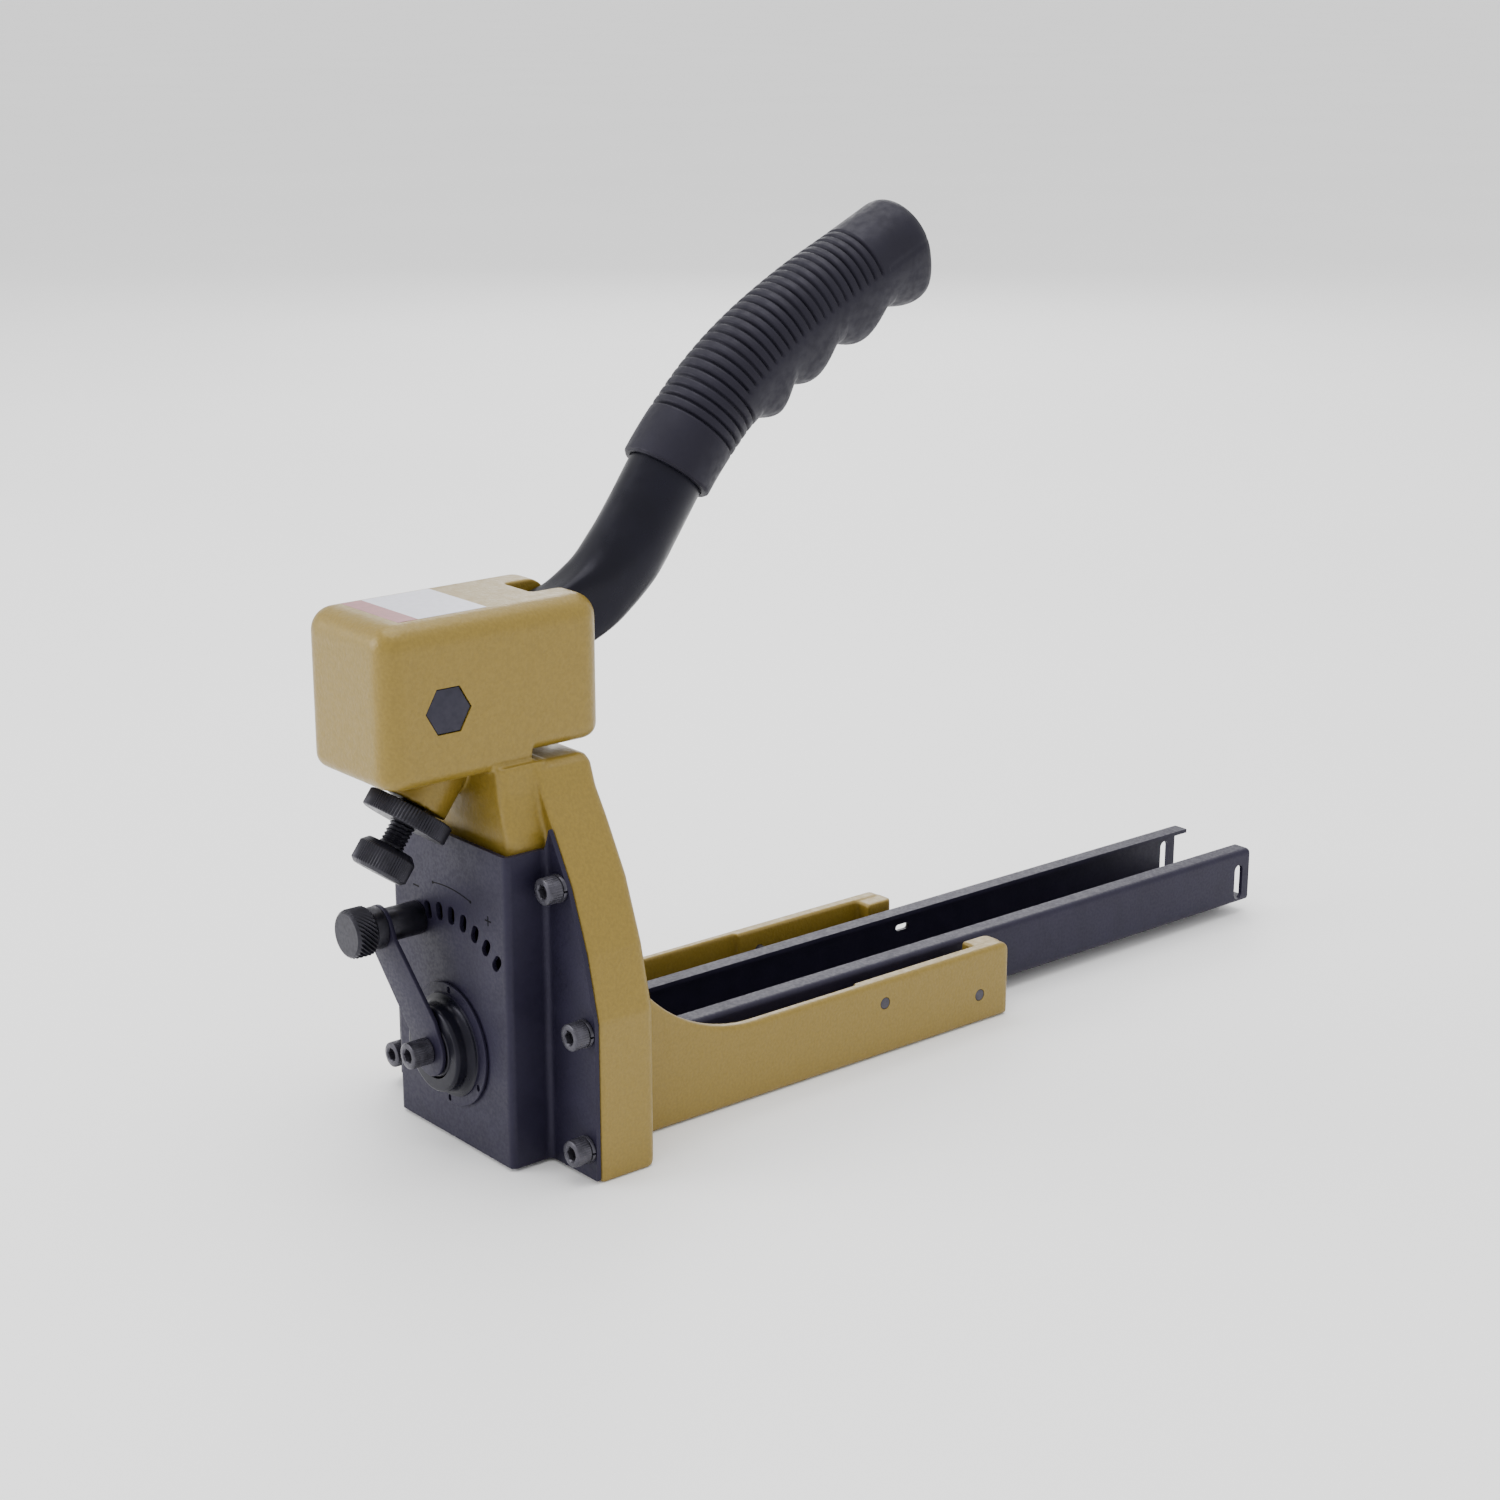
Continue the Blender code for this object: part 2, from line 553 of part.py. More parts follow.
def make_driver(body):
    roller_z = handle_press_point(ROLLER_ANGLE, ROLLER_REACH)[2] - ROLLER_R
    crosshead = block((-21, 4.9, 62), (21, 14, 89.6))
    neck = block((-6.5, 4.9, 85), (6.5, 12, 92))
    stem = block((-6.5, -1, 90.2), (6.5, 12, 126))
    tongue = block((-2.8, 0.5, 120), (2.8, 10, roller_z - 0.5))
    spring_bore = rod(7.0, (0, 10.9, 0), (0, 0, 1), 60, 62)
    holes = [rod(2.2, (s * 12, 0, 78), (0, 1, 0), 0, 12, 16) for s in (-1, 1)]
    solid = combined(crosshead, add=[neck, stem, tongue], cut=[spring_bore] + holes)
    piece("driver_carriage", solid, "bright_steel", body)
    blade = block((-19, BLADE_FRONT_Y, 26), (19, BLADE_REAR_Y, 89.6))
    slots = [rod(2.2, (s * 12, 0, 78), (0, 1, 0), 0, 12, 16) for s in (-1, 1)]
    piece("driver_blade", combined(blade, cut=slots), "bright_steel", body)
    clamp = block((-17, 0.9, 67), (17, 2.7, 89.4))
    slots = [rod(2.2, (s * 12, 0, 78), (0, 1, 0), 0, 12, 16) for s in (-1, 1)]
    piece("blade_clamp", combined(clamp, cut=slots), "bright_steel", body)
    for number, side in enumerate((-1, 1), 1):
        screw = [(2.0, 11.6), (2.0, 0.6), (3.6, 0.6), (3.6, -1.6)]
        piece(f"blade_screw_{number}", turned(screw, (side * 12, 0, 78), (0, 1, 0), steps=16),
              "dark_screw", body)


def make_return_spring():
    piece("return_spring", coil(5.4, 0.8, (0, 11.1, 31.3), 30.3, 5), "bright_steel", None)


def make_guides():
    holes = [rod(2.7, (s * CLINCH_X, 0, CLINCH_Z), (0, 1, 0), -5, 5, 16) for s in (-1, 1)]
    plate = block((-29.6, 0.4, 1), (29.6, 2.1, 33.6))
    piece("guide_plate", combined(plate, cut=holes), "bright_steel", None)
    for side, word in ((-1, "left"), (1, "right")):
        pin = [(2.5, 13.9), (2.5, 0.1), (3.9, 0.1), (3.9, -1.6)]
        piece(f"clincher_pin_{word}", turned(pin, (side * CLINCH_X, 0, CLINCH_Z), (0, 1, 0), steps=16),
              "bright_steel", None)


def make_clincher(body, side, word):
    a = [math.radians(d) for d in (55, 125)]
    arm = turned_arc(CLINCH_R - 4.5, CLINCH_R, a[0], a[1], side)
    hub = rod(4.6, (side * CLINCH_X, 0, CLINCH_Z), (0, 1, 0), 2.5, 6.3, 20)
    spoke = spoke_solid(side, 112, 3.6, CLINCH_R - 2)
    tail = spoke_solid(side, 205, 3.0, 12)
    bore = rod(2.75, (side * CLINCH_X, 0, CLINCH_Z), (0, 1, 0), 0, 10, 16)
    piece(f"clincher_{word}", combined(hub, add=[arm, spoke, tail], cut=[bore]), "bright_steel", body)


def turned_arc(inner, outer, start, end, side, steps=10):
    """A flat arc about the clincher's pivot; angles run from straight down, outwards."""
    def at(radius, a):
        return side * (CLINCH_X + radius * math.sin(a)), CLINCH_Z - radius * math.cos(a)
    angles = [start + (end - start) * i / steps for i in range(steps + 1)]
    tip = [at(outer, angles[0])]
    ring = tip + [at(outer, a) for a in angles[1:]] + [at(inner, a) for a in reversed(angles[1:])]
    return prism(ring, "y", 2.5, 6.3)


def spoke_solid(side, degrees, half, length):
    a = math.radians(degrees)
    du, dv = math.sin(a), -math.cos(a)
    corners = [(half, 1), (-half, 1), (-half, length), (half, length)]
    ring = [(side * (CLINCH_X + du * r - dv * w), CLINCH_Z + dv * r + du * w) for w, r in corners]
    return prism(ring, "y", 2.5, 6.3)


# ---------------------------------------------------------------- depth and tightness adjusters

def make_depth_adjuster(body):
    axis = (0, 0, SHAFT_Z)
    cam = rod(6.5, (0, 0, SHAFT_Z + 2.2), (0, 1, 0), -8.4, -2.2)
    shaft = rod(9.0, axis, (0, 1, 0), LEVER_FACE_Y + LEVER_SHEET + GAP, -8.0, 24, 0.3)
    bore = rod(2.75, axis, (0, 1, 0), -30, -14, 16)
    piece("depth_shaft", combined(shaft, add=[cam], cut=[bore]), "black_oxide", body)
    ring = [(9.15, -9.7), (11.6, -9.7), (11.6, -8.5), (9.15, -8.5)]
    piece("shaft_retaining_ring", turned(ring, axis, (0, 1, 0), True), "black_oxide", body)
    x, z = about_shaft(LEVER_DEG, LEVER_RADIUS)
    piece("depth_lever", lever_sheet(x, z), "black_powder", body)
    under = LEVER_FACE_Y - GAP
    screw = [(2.2, -14.4), (2.5, -15.0), (2.5, under), (4.25, under), (4.25, -31.3), (3.8, -31.8)]
    piece("lever_screw", turned(screw, axis, (0, 1, 0), steps=20), "dark_screw", body)
    front = LEVER_FACE_Y - LEVER_RISE
    back = front + LEVER_SHEET
    sleeve = [(2.2, front - 4), (6.5, front - 4), (6.85, front - 3.6), (6.85, front - GAP),
              (4.9, front - GAP), (4.9, back + GAP), (5.4, back + GAP), (5.4, -15.4), (2.2, -15.4)]
    piece("plunger_sleeve", turned(sleeve, (x, 0, z), (0, 1, 0), True), "black_oxide", body)


def lever_sheet(x, z):
    """The lever: a flat sheet, then set forward in a straight ramp on its way to the plunger."""
    sheet = prism(slot_outline((0, SHAFT_Z), (x, z), 8.3, 7.0), "y", LEVER_FACE_Y,
                  LEVER_FACE_Y + LEVER_SHEET, 0.2, 0.2, 1)
    holes = [rod(2.75, (0, 0, SHAFT_Z), (0, 1, 0), -30, -20, 16), rod(5.1, (x, 0, z), (0, 1, 0), -30, -20)]
    sheet = combined(sheet, cut=holes)
    foot, along = Vector((0, 0, SHAFT_Z)), Vector((x, 0, z - SHAFT_Z)).normalized()
    ramp_start, ramp_end = LEVER_RAMP
    for reach in LEVER_RAMP:
        bmesh.ops.bisect_plane(sheet, geom=sheet.verts[:] + sheet.edges[:] + sheet.faces[:], dist=1e-4,
                               plane_co=foot + along * reach, plane_no=along)
    for vertex in sheet.verts:
        done = ((vertex.co - foot).dot(along) - ramp_start) / (ramp_end - ramp_start)
        vertex.co.y -= LEVER_RISE * min(max(done, 0.0), 1.0)
    return sheet


def make_plunger(body):
    x, z = about_shaft(LEVER_DEG, LEVER_RADIUS)
    back = LEVER_FACE_Y - LEVER_RISE - 4 - GAP
    knob = rod(7.9, (x, 0, z), (0, 1, 0), -41.5, back, 24, 0.6)
    piece("plunger_knob", knob, "black_oxide", body)
    piece("plunger_pin", rod(1.9, (x, 0, z), (0, 1, 0), back + GAP, -15.4, 16), "bright_steel", body)


def make_tightness_adjuster(screw_body, disc_body):
    line = adjuster_line()
    piece("adjuster_screw", rod(4.0, *line, -10.1, 23.6, 20, 0.4), "black_oxide", screw_body)
    piece("adjuster_knob", rod(9.2, *line, -19.5, -10.4, 24, 1.0), "black_oxide", screw_body)
    disc = [(4.25, -2.9), (13.3, -2.9), (13.8, -2.4), (13.8, 2.4), (13.3, 2.9), (4.25, 2.9)]
    piece("lock_disc", turned(disc, *line, True, 32), "black_oxide", disc_body)


def main():
    for obj in list(bpy.data.objects):
        bpy.data.objects.remove(obj)
    make_materials()
    make_casting()
    make_cover()
    make_cover_screws()
    make_shaft_housing()
    make_magazine()
    make_pivot_bolt()
    make_return_spring()
    make_guides()
    handle = joint_empty("handle_joint", (0, PIVOT_Y, PIVOT_Z))
    make_handle(handle)
    make_grip(handle)
    make_driver(joint_empty("driver_joint", (0, 4, 78)))
    for side, word in ((-1, "left"), (1, "right")):
        make_clincher(joint_empty(f"clincher_joint_{word}", (side * CLINCH_X, 4, CLINCH_Z)), side, word)
    depth = joint_empty("depth_joint", (0, -20, SHAFT_Z))
    make_depth_adjuster(depth)
    x, z = about_shaft(LEVER_DEG, LEVER_RADIUS)
    make_plunger(joint_empty("plunger_joint", (x, -34, z), depth))
    make_tightness_adjuster(joint_empty("adjuster_joint", (0, *ADJUST_AT)),
                            joint_empty("lock_disc_joint", (0, *ADJUST_AT)))
    make_pusher(joint_empty("pusher_joint", (0, 26, 14)))


main()
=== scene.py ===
"""Looks of a hand-operated carton-closing stapler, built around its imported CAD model.

Shapes are written in the design's millimetres: X across the tool, Y from the front of the column to the
rear, Z up from the base. shape() turns them into metres in the row frame.
"""
import json
import math

import bmesh
import bpy
from mathutils import Matrix, Vector

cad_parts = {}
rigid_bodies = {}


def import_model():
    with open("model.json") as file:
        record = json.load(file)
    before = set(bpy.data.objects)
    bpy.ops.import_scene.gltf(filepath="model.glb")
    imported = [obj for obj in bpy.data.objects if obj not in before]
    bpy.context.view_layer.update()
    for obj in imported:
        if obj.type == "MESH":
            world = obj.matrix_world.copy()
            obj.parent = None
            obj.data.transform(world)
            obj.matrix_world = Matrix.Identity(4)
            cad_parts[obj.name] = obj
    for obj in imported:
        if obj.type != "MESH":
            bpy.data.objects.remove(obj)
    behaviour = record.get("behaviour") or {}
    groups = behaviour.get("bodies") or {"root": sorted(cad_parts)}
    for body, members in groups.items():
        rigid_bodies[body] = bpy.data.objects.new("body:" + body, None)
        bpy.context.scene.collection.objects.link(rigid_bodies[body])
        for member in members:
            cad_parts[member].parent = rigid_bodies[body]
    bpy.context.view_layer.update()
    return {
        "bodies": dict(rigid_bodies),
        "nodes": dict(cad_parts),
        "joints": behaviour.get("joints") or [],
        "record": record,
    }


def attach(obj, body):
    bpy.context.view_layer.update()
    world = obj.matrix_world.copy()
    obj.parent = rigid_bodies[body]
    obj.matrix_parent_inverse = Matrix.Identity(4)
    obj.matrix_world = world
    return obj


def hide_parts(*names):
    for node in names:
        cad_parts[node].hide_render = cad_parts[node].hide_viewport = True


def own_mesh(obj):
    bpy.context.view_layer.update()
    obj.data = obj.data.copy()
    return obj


MM = 0.001
MIDDLE_Y = 147.35                   # design Y of the row frame's origin

# Casting
HEAD_HALF_X, HEAD_CORNER_R = 22.5, 7.5
HEAD_FRONT_Y, HEAD_REAR_Y = -48.8, 30.0
HEAD_BOTTOM_Z, HEAD_REAR_BOTTOM_Z, HEAD_TOP_Z = 125.4, 129.5, 175.0
COLUMN_FRONT_Y, COLUMN_REAR_Y = 1.8, 23.0
COLUMN_FLANK = [(55, 0), (55, 52), (49.9, 72.5), (42.7, 92), (33.6, 108.3), (28, 117.2), (25.4, 124.5),
                (22.5, 126.5)]
ARM_INNER_X, ARM_OUTER_X, ARM_END_Y, ARM_TOP_Z = 30.5, 36.0, 195.2, 27.0
ARM_ARC_Y, ARM_ARC_Z, ARM_ARC_R = 80.0, 87.0, 60.0
SLOT_HALF_X = 7.2
CASTING_VOXEL = 0.6

# Handle
PIVOT_Y, PIVOT_Z = -27.0, 148.0
LEVER_HALF_X, ROLLER_REACH, ROLLER_ANGLE = 6.8, 34.0, 17.0
GRIP_R = 15.0

# Cover, shaft and adjusters
SHEET, GAP = 1.5, 0.3                # sheet metal, and the play between pieces
SCREW_HEAD_R, SCREW_SHANK_R, SOCKET_R, WASHER_R = 4.25, 2.5, 2.31, 4.4
COVER_HALF_X, COVER_FRONT_Y, COVER_TOP_Z = 31.6, -15.0, 102.0
SHAFT_Z = 33.0
HOLE_RADIUS, HOLE_PITCH_DEG, HOLE_COUNT = 42.8, 8.77, 8
LEVER_RADIUS, LEVER_DEG = 41.0, -24.2
LEVER_FACE_Y, LEVER_SHEET, LEVER_RISE = -24.2, 1.4, 5.7
LEVER_RAMP = (8.0, 36.0)            # distances from the shaft
LEVER_FOOT_R, LEVER_TIP_R = 8.3, 7.0
LEVER_SCREW_FACE_Y, LEVER_SCREW_TIP_Y = -31.8, -14.4
PLUNGER_FLANGE, KNOB_R, KNOB_FRONT_Y = 4.0, 7.9, -41.5
BOSS_R, BOSS_FRONT_Y, FLANGE_R, FLANGE_Y = 14.0, -22.5, 20.0, -16.2
FLANGE_HOLE_R, FLANGE_HOLE_DEG = 18.3, (-58, 2, 122, 182)
COVER_SCREWS = [(50.3, 10.4), (50.3, 48.4), (38.2, 91.4)]
ADJUST_AT, ADJUST_DEG = (-28.4, 110.4), 36.7
ADJUST_KNOB_R, DISC_R, DISC_HALF = 9.2, 13.8, 2.9

# Magazine
MAGAZINE_HALF_X, MAGAZINE_LOW_Z, MAGAZINE_TOP_Z = 20.0, 4.5, 25.5
MAGAZINE_FRONT_Y, MAGAZINE_REAR_Y = 6.7, 343.5
MAGAZINE_PINS = [(136.0, 18.8), (181.0, 10.4)]
CLINCH_X, CLINCH_Z = 26.0, 13.0


# ---------------------------------------------------------------- outlines, as lists of 2-D points

def arc(centre, radius, start, end, steps):
    """Points on an arc from start to end, in degrees."""
    angles = [math.radians(start + (end - start) * i / steps) for i in range(steps + 1)]
    return [(centre[0] + radius * math.cos(a), centre[1] + radius * math.sin(a)) for a in angles]


def circle(radius, centre=(0.0, 0.0), steps=64):
    return arc(centre, radius, 0, 360, steps)[:-1]


def mirrored(half):
    """A closed outline from its right half, listed from the bottom up."""
    return list(half) + [(-x, z) for x, z in reversed(half)]


def rounded_rectangle(half_u, half_v, radius, centre=(0.0, 0.0), steps=10):
    u, v = half_u - radius, half_v - radius
    points = []
    for su, sv, start in ((1, 1, 0), (-1, 1, 90), (-1, -1, 180), (1, -1, 270)):
        points += arc((centre[0] + su * u, centre[1] + sv * v), radius, start, start + 90, steps)
    return points


def slot_outline(near, far, radius_near, radius_far, steps=16):
    """A bar with round ends, between two centres."""
    heading = math.degrees(math.atan2(far[1] - near[1], far[0] - near[0]))
    return (arc(far, radius_far, heading - 90, heading + 90, steps)
            + arc(near, radius_near, heading + 90, heading + 270, steps))


def unit(a, b):
    length = math.dist(a, b)
    return ((b[0] - a[0]) / length, (b[1] - a[1]) / length)


def offset(points, distance, closed=True):
    """The outline moved inwards (to the left of its direction of travel) by distance."""
    moved, count = [], len(points)
    for i, here in enumerate(points):
        before = points[i - 1] if closed or i else None
        after = points[(i + 1) % count] if closed or i < count - 1 else None
        sides = [unit(before, here)] if before else []
        sides += [unit(here, after)] if after else []
        nu = -sum(s[1] for s in sides) / len(sides)
        nv = sum(s[0] for s in sides) / len(sides)
        stretch = distance / max(nu * nu + nv * nv, 0.2)
        moved.append((here[0] + nu * stretch, here[1] + nv * stretch))
    return moved


def filleted(points, radius, steps=8):
    """An open path with its inner corners rounded."""
    path = [points[0]]
    for before, here, after in zip(points, points[1:], points[2:]):
        a, b = unit(here, before), unit(here, after)
        start = (here[0] + a[0] * radius, here[1] + a[1] * radius)
        end = (here[0] + b[0] * radius, here[1] + b[1] * radius)
        for i in range(steps + 1):
            t = i / steps
            path.append(tuple((1 - t) ** 2 * start[k] + 2 * t * (1 - t) * here[k] + t * t * end[k]
                              for k in (0, 1)))
    return path + [points[-1]]


def bent_sheet(path, thickness):
    """The closed outline of a sheet that follows an open path."""
    return list(path) + offset(path, thickness, closed=False)[::-1]


# ---------------------------------------------------------------- solids, as bmeshes in millimetres

def skin(rings, closed=False):
    """A closed surface through rings of equally many points."""
    bm = bmesh.new()
    loops = [[bm.verts.new(p) for p in ring] for ring in rings]
    count = len(loops[0])
    pairs = list(zip(loops, loops[1:])) + ([(loops[-1], loops[0])] if closed else [])
    for low, high in pairs:
        for i in range(count):
            j = (i + 1) % count
            bm.faces.new((low[i], low[j], high[j], high[i]))
    if not closed:
        bm.faces.new(loops[0][::-1])
        bm.faces.new(loops[-1])
    bmesh.ops.recalc_face_normals(bm, faces=bm.faces[:])
    return bm


AXES = {
    "x": lambda u, v, w: (w, u, v),      # outline in Y and Z
    "y": lambda u, v, w: (u, w, v),      # outline in X and Z
    "z": lambda u, v, w: (u, v, w),      # outline in X and Y
}


def rounding(face, inward, radius, steps):
    """Levels of an end with a rounded edge, from the face inwards, as (place, inset)."""
    angles = [math.radians(90 * i / steps) for i in range(steps + 1)] if radius else [math.pi / 2]
    return [(face + inward * radius * (1 - math.cos(a)), radius * (1 - math.sin(a))) for a in angles]


def prism(outline, axis, low, high, round_low=0.0, round_high=0.0, steps=6):
    """An outline extruded along an axis, with its end edges rounded by the given radii."""
    levels = rounding(low, 1, round_low, steps) + rounding(high, -1, round_high, steps)[::-1]
    return skin([[AXES[axis](u, v, w) for u, v in offset(outline, inset)] for w, inset in levels])


def block(low, high):
    x, y = (low[0] + high[0]) / 2, (low[1] + high[1]) / 2
    dx, dy = (high[0] - low[0]) / 2, (high[1] - low[1]) / 2
    return prism([(x + dx, y + dy), (x - dx, y + dy), (x - dx, y - dy), (x + dx, y - dy)],
                 "z", low[2], high[2])


def about(point, direction):
    """Placement of (u, v, w): w runs along direction from point, u and v across it."""
    along = Vector(direction).normalized()
    side = along.orthogonal().normalized()
    other = along.cross(side)
    return lambda u, v, w: Vector(point) + along * w + side * u + other * v


def turned(profile, point, direction, closed=False, steps=64):
    """A body of revolution: profile lists (radius, distance from point along direction)."""
    place = about(point, direction)
    return skin([[place(u, v, w) for u, v in circle(r, steps=steps)] for r, w in profile], closed)


def rod(radius, point, direction, start, end, steps=48):
    return turned([(radius, start), (radius, end)], point, direction, steps=steps)


def knurled(profile, point, direction, teeth, depth, slant=0.0, closed=False):
    """A turned body with pressed ridges: profile lists (radius, distance, share of the ridge depth)."""
    place = about(point, direction)
    rings = []
    for radius, w, share in profile:
        ring = []
        for i in range(teeth * 4):
            a = 2 * math.pi * i / (teeth * 4) + slant * w
            r = radius - depth * share * (0.0, 0.5, 1.0, 0.5)[i % 4]
            ring.append(place(r * math.cos(a), r * math.sin(a), w))
        rings.append(ring)
    return skin(rings, closed)


def threaded(radius, start, end, pitch, depth, point, direction, steps=36):
    """A screw: V-shaped ridges that wind round the axis and fade out at both ends."""
    place = about(point, direction)
    rings, rows = [], int((end - start) / pitch * 8)
    for row in range(rows + 1):
        w = start + (end - start) * row / rows
        fade = min(1.0, (w - start) / pitch + 0.2, (end - w) / pitch + 0.2)
        ring = []
        for k in range(steps):
            a = 2 * math.pi * k / steps
            phase = (w / pitch - a / (2 * math.pi)) % 1.0
            r = radius - depth * fade * abs(2 * phase - 1)
            ring.append(place(r * math.cos(a), r * math.sin(a), w))
        rings.append(ring)
    return skin(rings)


def scratch(bm, name="operand"):
    mesh = bpy.data.meshes.new(name)
    bm.to_mesh(mesh)
    obj = bpy.data.objects.new(name, mesh)
    bpy.context.scene.collection.objects.link(obj)
    return obj


def evaluated(obj, operands=()):
    """obj's mesh with its modifiers applied, as a bmesh; obj and the operands are thrown away."""
    bpy.context.view_layer.update()
    result = bmesh.new()
    result.from_object(obj, bpy.context.evaluated_depsgraph_get())
    for used in [obj, *operands]:
        bpy.data.objects.remove(used)
    return result


def combined(base, add=(), cut=(), solver="EXACT"):
    """base with the solids in add joined to it and those in cut taken away."""
    main = scratch(base)
    operands = [(scratch(bm), "UNION") for bm in add] + [(scratch(bm), "DIFFERENCE") for bm in cut]
    for obj, operation in operands:
        step = main.modifiers.new("step", "BOOLEAN")
        step.solver, step.operation, step.object = solver, operation, obj
    return evaluated(main, [o for o, _ in operands])


# ---------------------------------------------------------------- materials

class Shader:
    """A node material with one Principled surface, and helpers for its procedural detail."""

    def __init__(self, name, roughness, metallic=0.0, coat=0.0, coat_roughness=0.2, specular=0.5,
                 tint=(1.0, 1.0, 1.0)):
        self.material = bpy.data.materials.new(name)
        self.material.use_nodes = True
        self.tree = self.material.node_tree
        self.surface = self.tree.nodes["Principled BSDF"]
        for socket, value in (("Roughness", roughness), ("Metallic", metallic), ("Coat Weight", coat),
                              ("Coat Roughness", coat_roughness), ("Specular IOR Level", specular)):
            self.surface.inputs[socket].default_value = value
        self.surface.inputs["Specular Tint"].default_value = (*tint, 1.0)
        self.place = self.tree.nodes.new("ShaderNodeTexCoord").outputs["Object"]

    def node(self, kind, **values):
        made = self.tree.nodes.new(kind)
        for socket, value in values.items():
            made.inputs[socket.replace("_", " ")].default_value = value
        return made

    def link(self, output, target):
        self.tree.links.new(output, target)

    def noise(self, size_mm, detail=2.0, stretch=(1, 1, 1)):
        """Soft random values whose features are about size_mm across."""
        spread = self.node("ShaderNodeMapping")
        spread.inputs["Scale"].default_value = stretch
        self.link(self.place, spread.inputs["Vector"])
        made = self.node("ShaderNodeTexNoise", Scale=1000.0 / size_mm, Detail=detail)
        self.link(spread.outputs["Vector"], made.inputs["Vector"])
        return made.outputs["Fac"]

    def ramp(self, value, low, high, start=0.35, end=0.65):
        made = self.node("ShaderNodeValToRGB")
        for element, place, colour in zip(made.color_ramp.elements, (start, end), (low, high)):
            element.position, element.color = place, (*colour, 1.0)
        self.link(value, made.inputs["Fac"])
        return made.outputs["Color"]

    def span(self, value, low, high, start=0.35, end=0.65):
        made = self.node("ShaderNodeMapRange", From_Min=start, From_Max=end, To_Min=low, To_Max=high)
        self.link(value, made.inputs["Value"])
        return made.outputs["Result"]

    def colour(self, output):
        self.link(output, self.surface.inputs["Base Color"])

    def roughness(self, output):
        self.link(output, self.surface.inputs["Roughness"])

    def bump(self, value, height_mm):
        """Adds a layer of relief over those already there."""
        made = self.node("ShaderNodeBump", Distance=height_mm * MM)
        self.link(value, made.inputs["Height"])
        normal = self.surface.inputs["Normal"]
        if normal.links:
            self.link(normal.links[0].from_socket, made.inputs["Normal"])
        self.link(made.outputs["Normal"], normal)


def gold_paint():
    """Hammertone enamel on a die casting: shallow pits about 1 mm across."""
    s = Shader("gold_hammertone", 0.42, metallic=0.2, coat=0.2, coat_roughness=0.3)
    s.colour(s.ramp(s.noise(1.0, 3), (0.185, 0.121, 0.0095), (0.215, 0.142, 0.013)))
    s.roughness(s.span(s.noise(2.2), 0.38, 0.5))
    s.bump(s.noise(1.0, 1), 0.11)
    s.bump(s.noise(0.35, 2), 0.02)
    return s.material


def black_powder():
    """Fine-grained black powder coat with a slight violet cast."""
    s = Shader("black_powder_coat", 0.44, specular=0.28, tint=(0.84, 0.8, 1.0))
    s.colour(s.ramp(s.noise(9.0, 4), (0.0085, 0.0072, 0.0175), (0.011, 0.0094, 0.022)))
    s.roughness(s.span(s.noise(1.0), 0.42, 0.56))
    s.bump(s.noise(0.42, 1), 0.012)
    return s.material


def satin_black():
    """Smooth stove enamel on the handle's tube."""
    s = Shader("satin_black_enamel", 0.32, specular=0.2, tint=(0.86, 0.84, 1.0))
    s.colour(s.ramp(s.noise(14.0, 3), (0.0025, 0.0025, 0.005), (0.004, 0.004, 0.008)))
    s.roughness(s.span(s.noise(5.0, 4), 0.26, 0.38))
    s.bump(s.noise(1.6, 2), 0.008)
    return s.material


def grip_rubber():
    s = Shader("grip_rubber", 0.52, specular=0.26, tint=(0.86, 0.83, 1.0))
    s.colour(s.ramp(s.noise(12.0, 4), (0.0055, 0.005, 0.0095), (0.008, 0.0074, 0.013)))
    s.roughness(s.span(s.noise(3.0, 4), 0.46, 0.62))
    s.bump(s.noise(0.3, 1), 0.01)
    return s.material


def dark_metal(name, dark, light, roughness, grain_mm=0.6):
    """Blackened or phosphated steel with faint turning marks."""
    s = Shader(name, roughness, metallic=0.2, specular=0.42, tint=(0.9, 0.88, 1.0))
    s.colour(s.ramp(s.noise(3.0, 4), dark, light))
    s.roughness(s.span(s.noise(1.4, 3), roughness - 0.07, roughness + 0.1))
    s.bump(s.noise(grain_mm, 2, (1, 3, 1)), 0.01)
    return s.material


def bright_metal(name, dark, light, roughness):
    s = Shader(name, roughness, metallic=1.0)
    s.colour(s.ramp(s.noise(6.0, 4), dark, light))
    s.roughness(s.span(s.noise(1.5, 3, (1, 1, 0.15)), roughness - 0.04, roughness + 0.08))
    s.bump(s.noise(0.8, 2, (1, 1, 0.15)), 0.0012)
    return s.material


def printed_film(name, low, high, coat=0.3, specular=0.5):
    """Paper-faced film of the blank label, or flat ink where there is no coat."""
    s = Shader(name, 0.45, coat=coat, coat_roughness=0.2, specular=specular)
    s.colour(s.ramp(s.noise(2.5, 3), low, high))
    s.bump(s.noise(0.5, 1), 0.004)
    return s.material


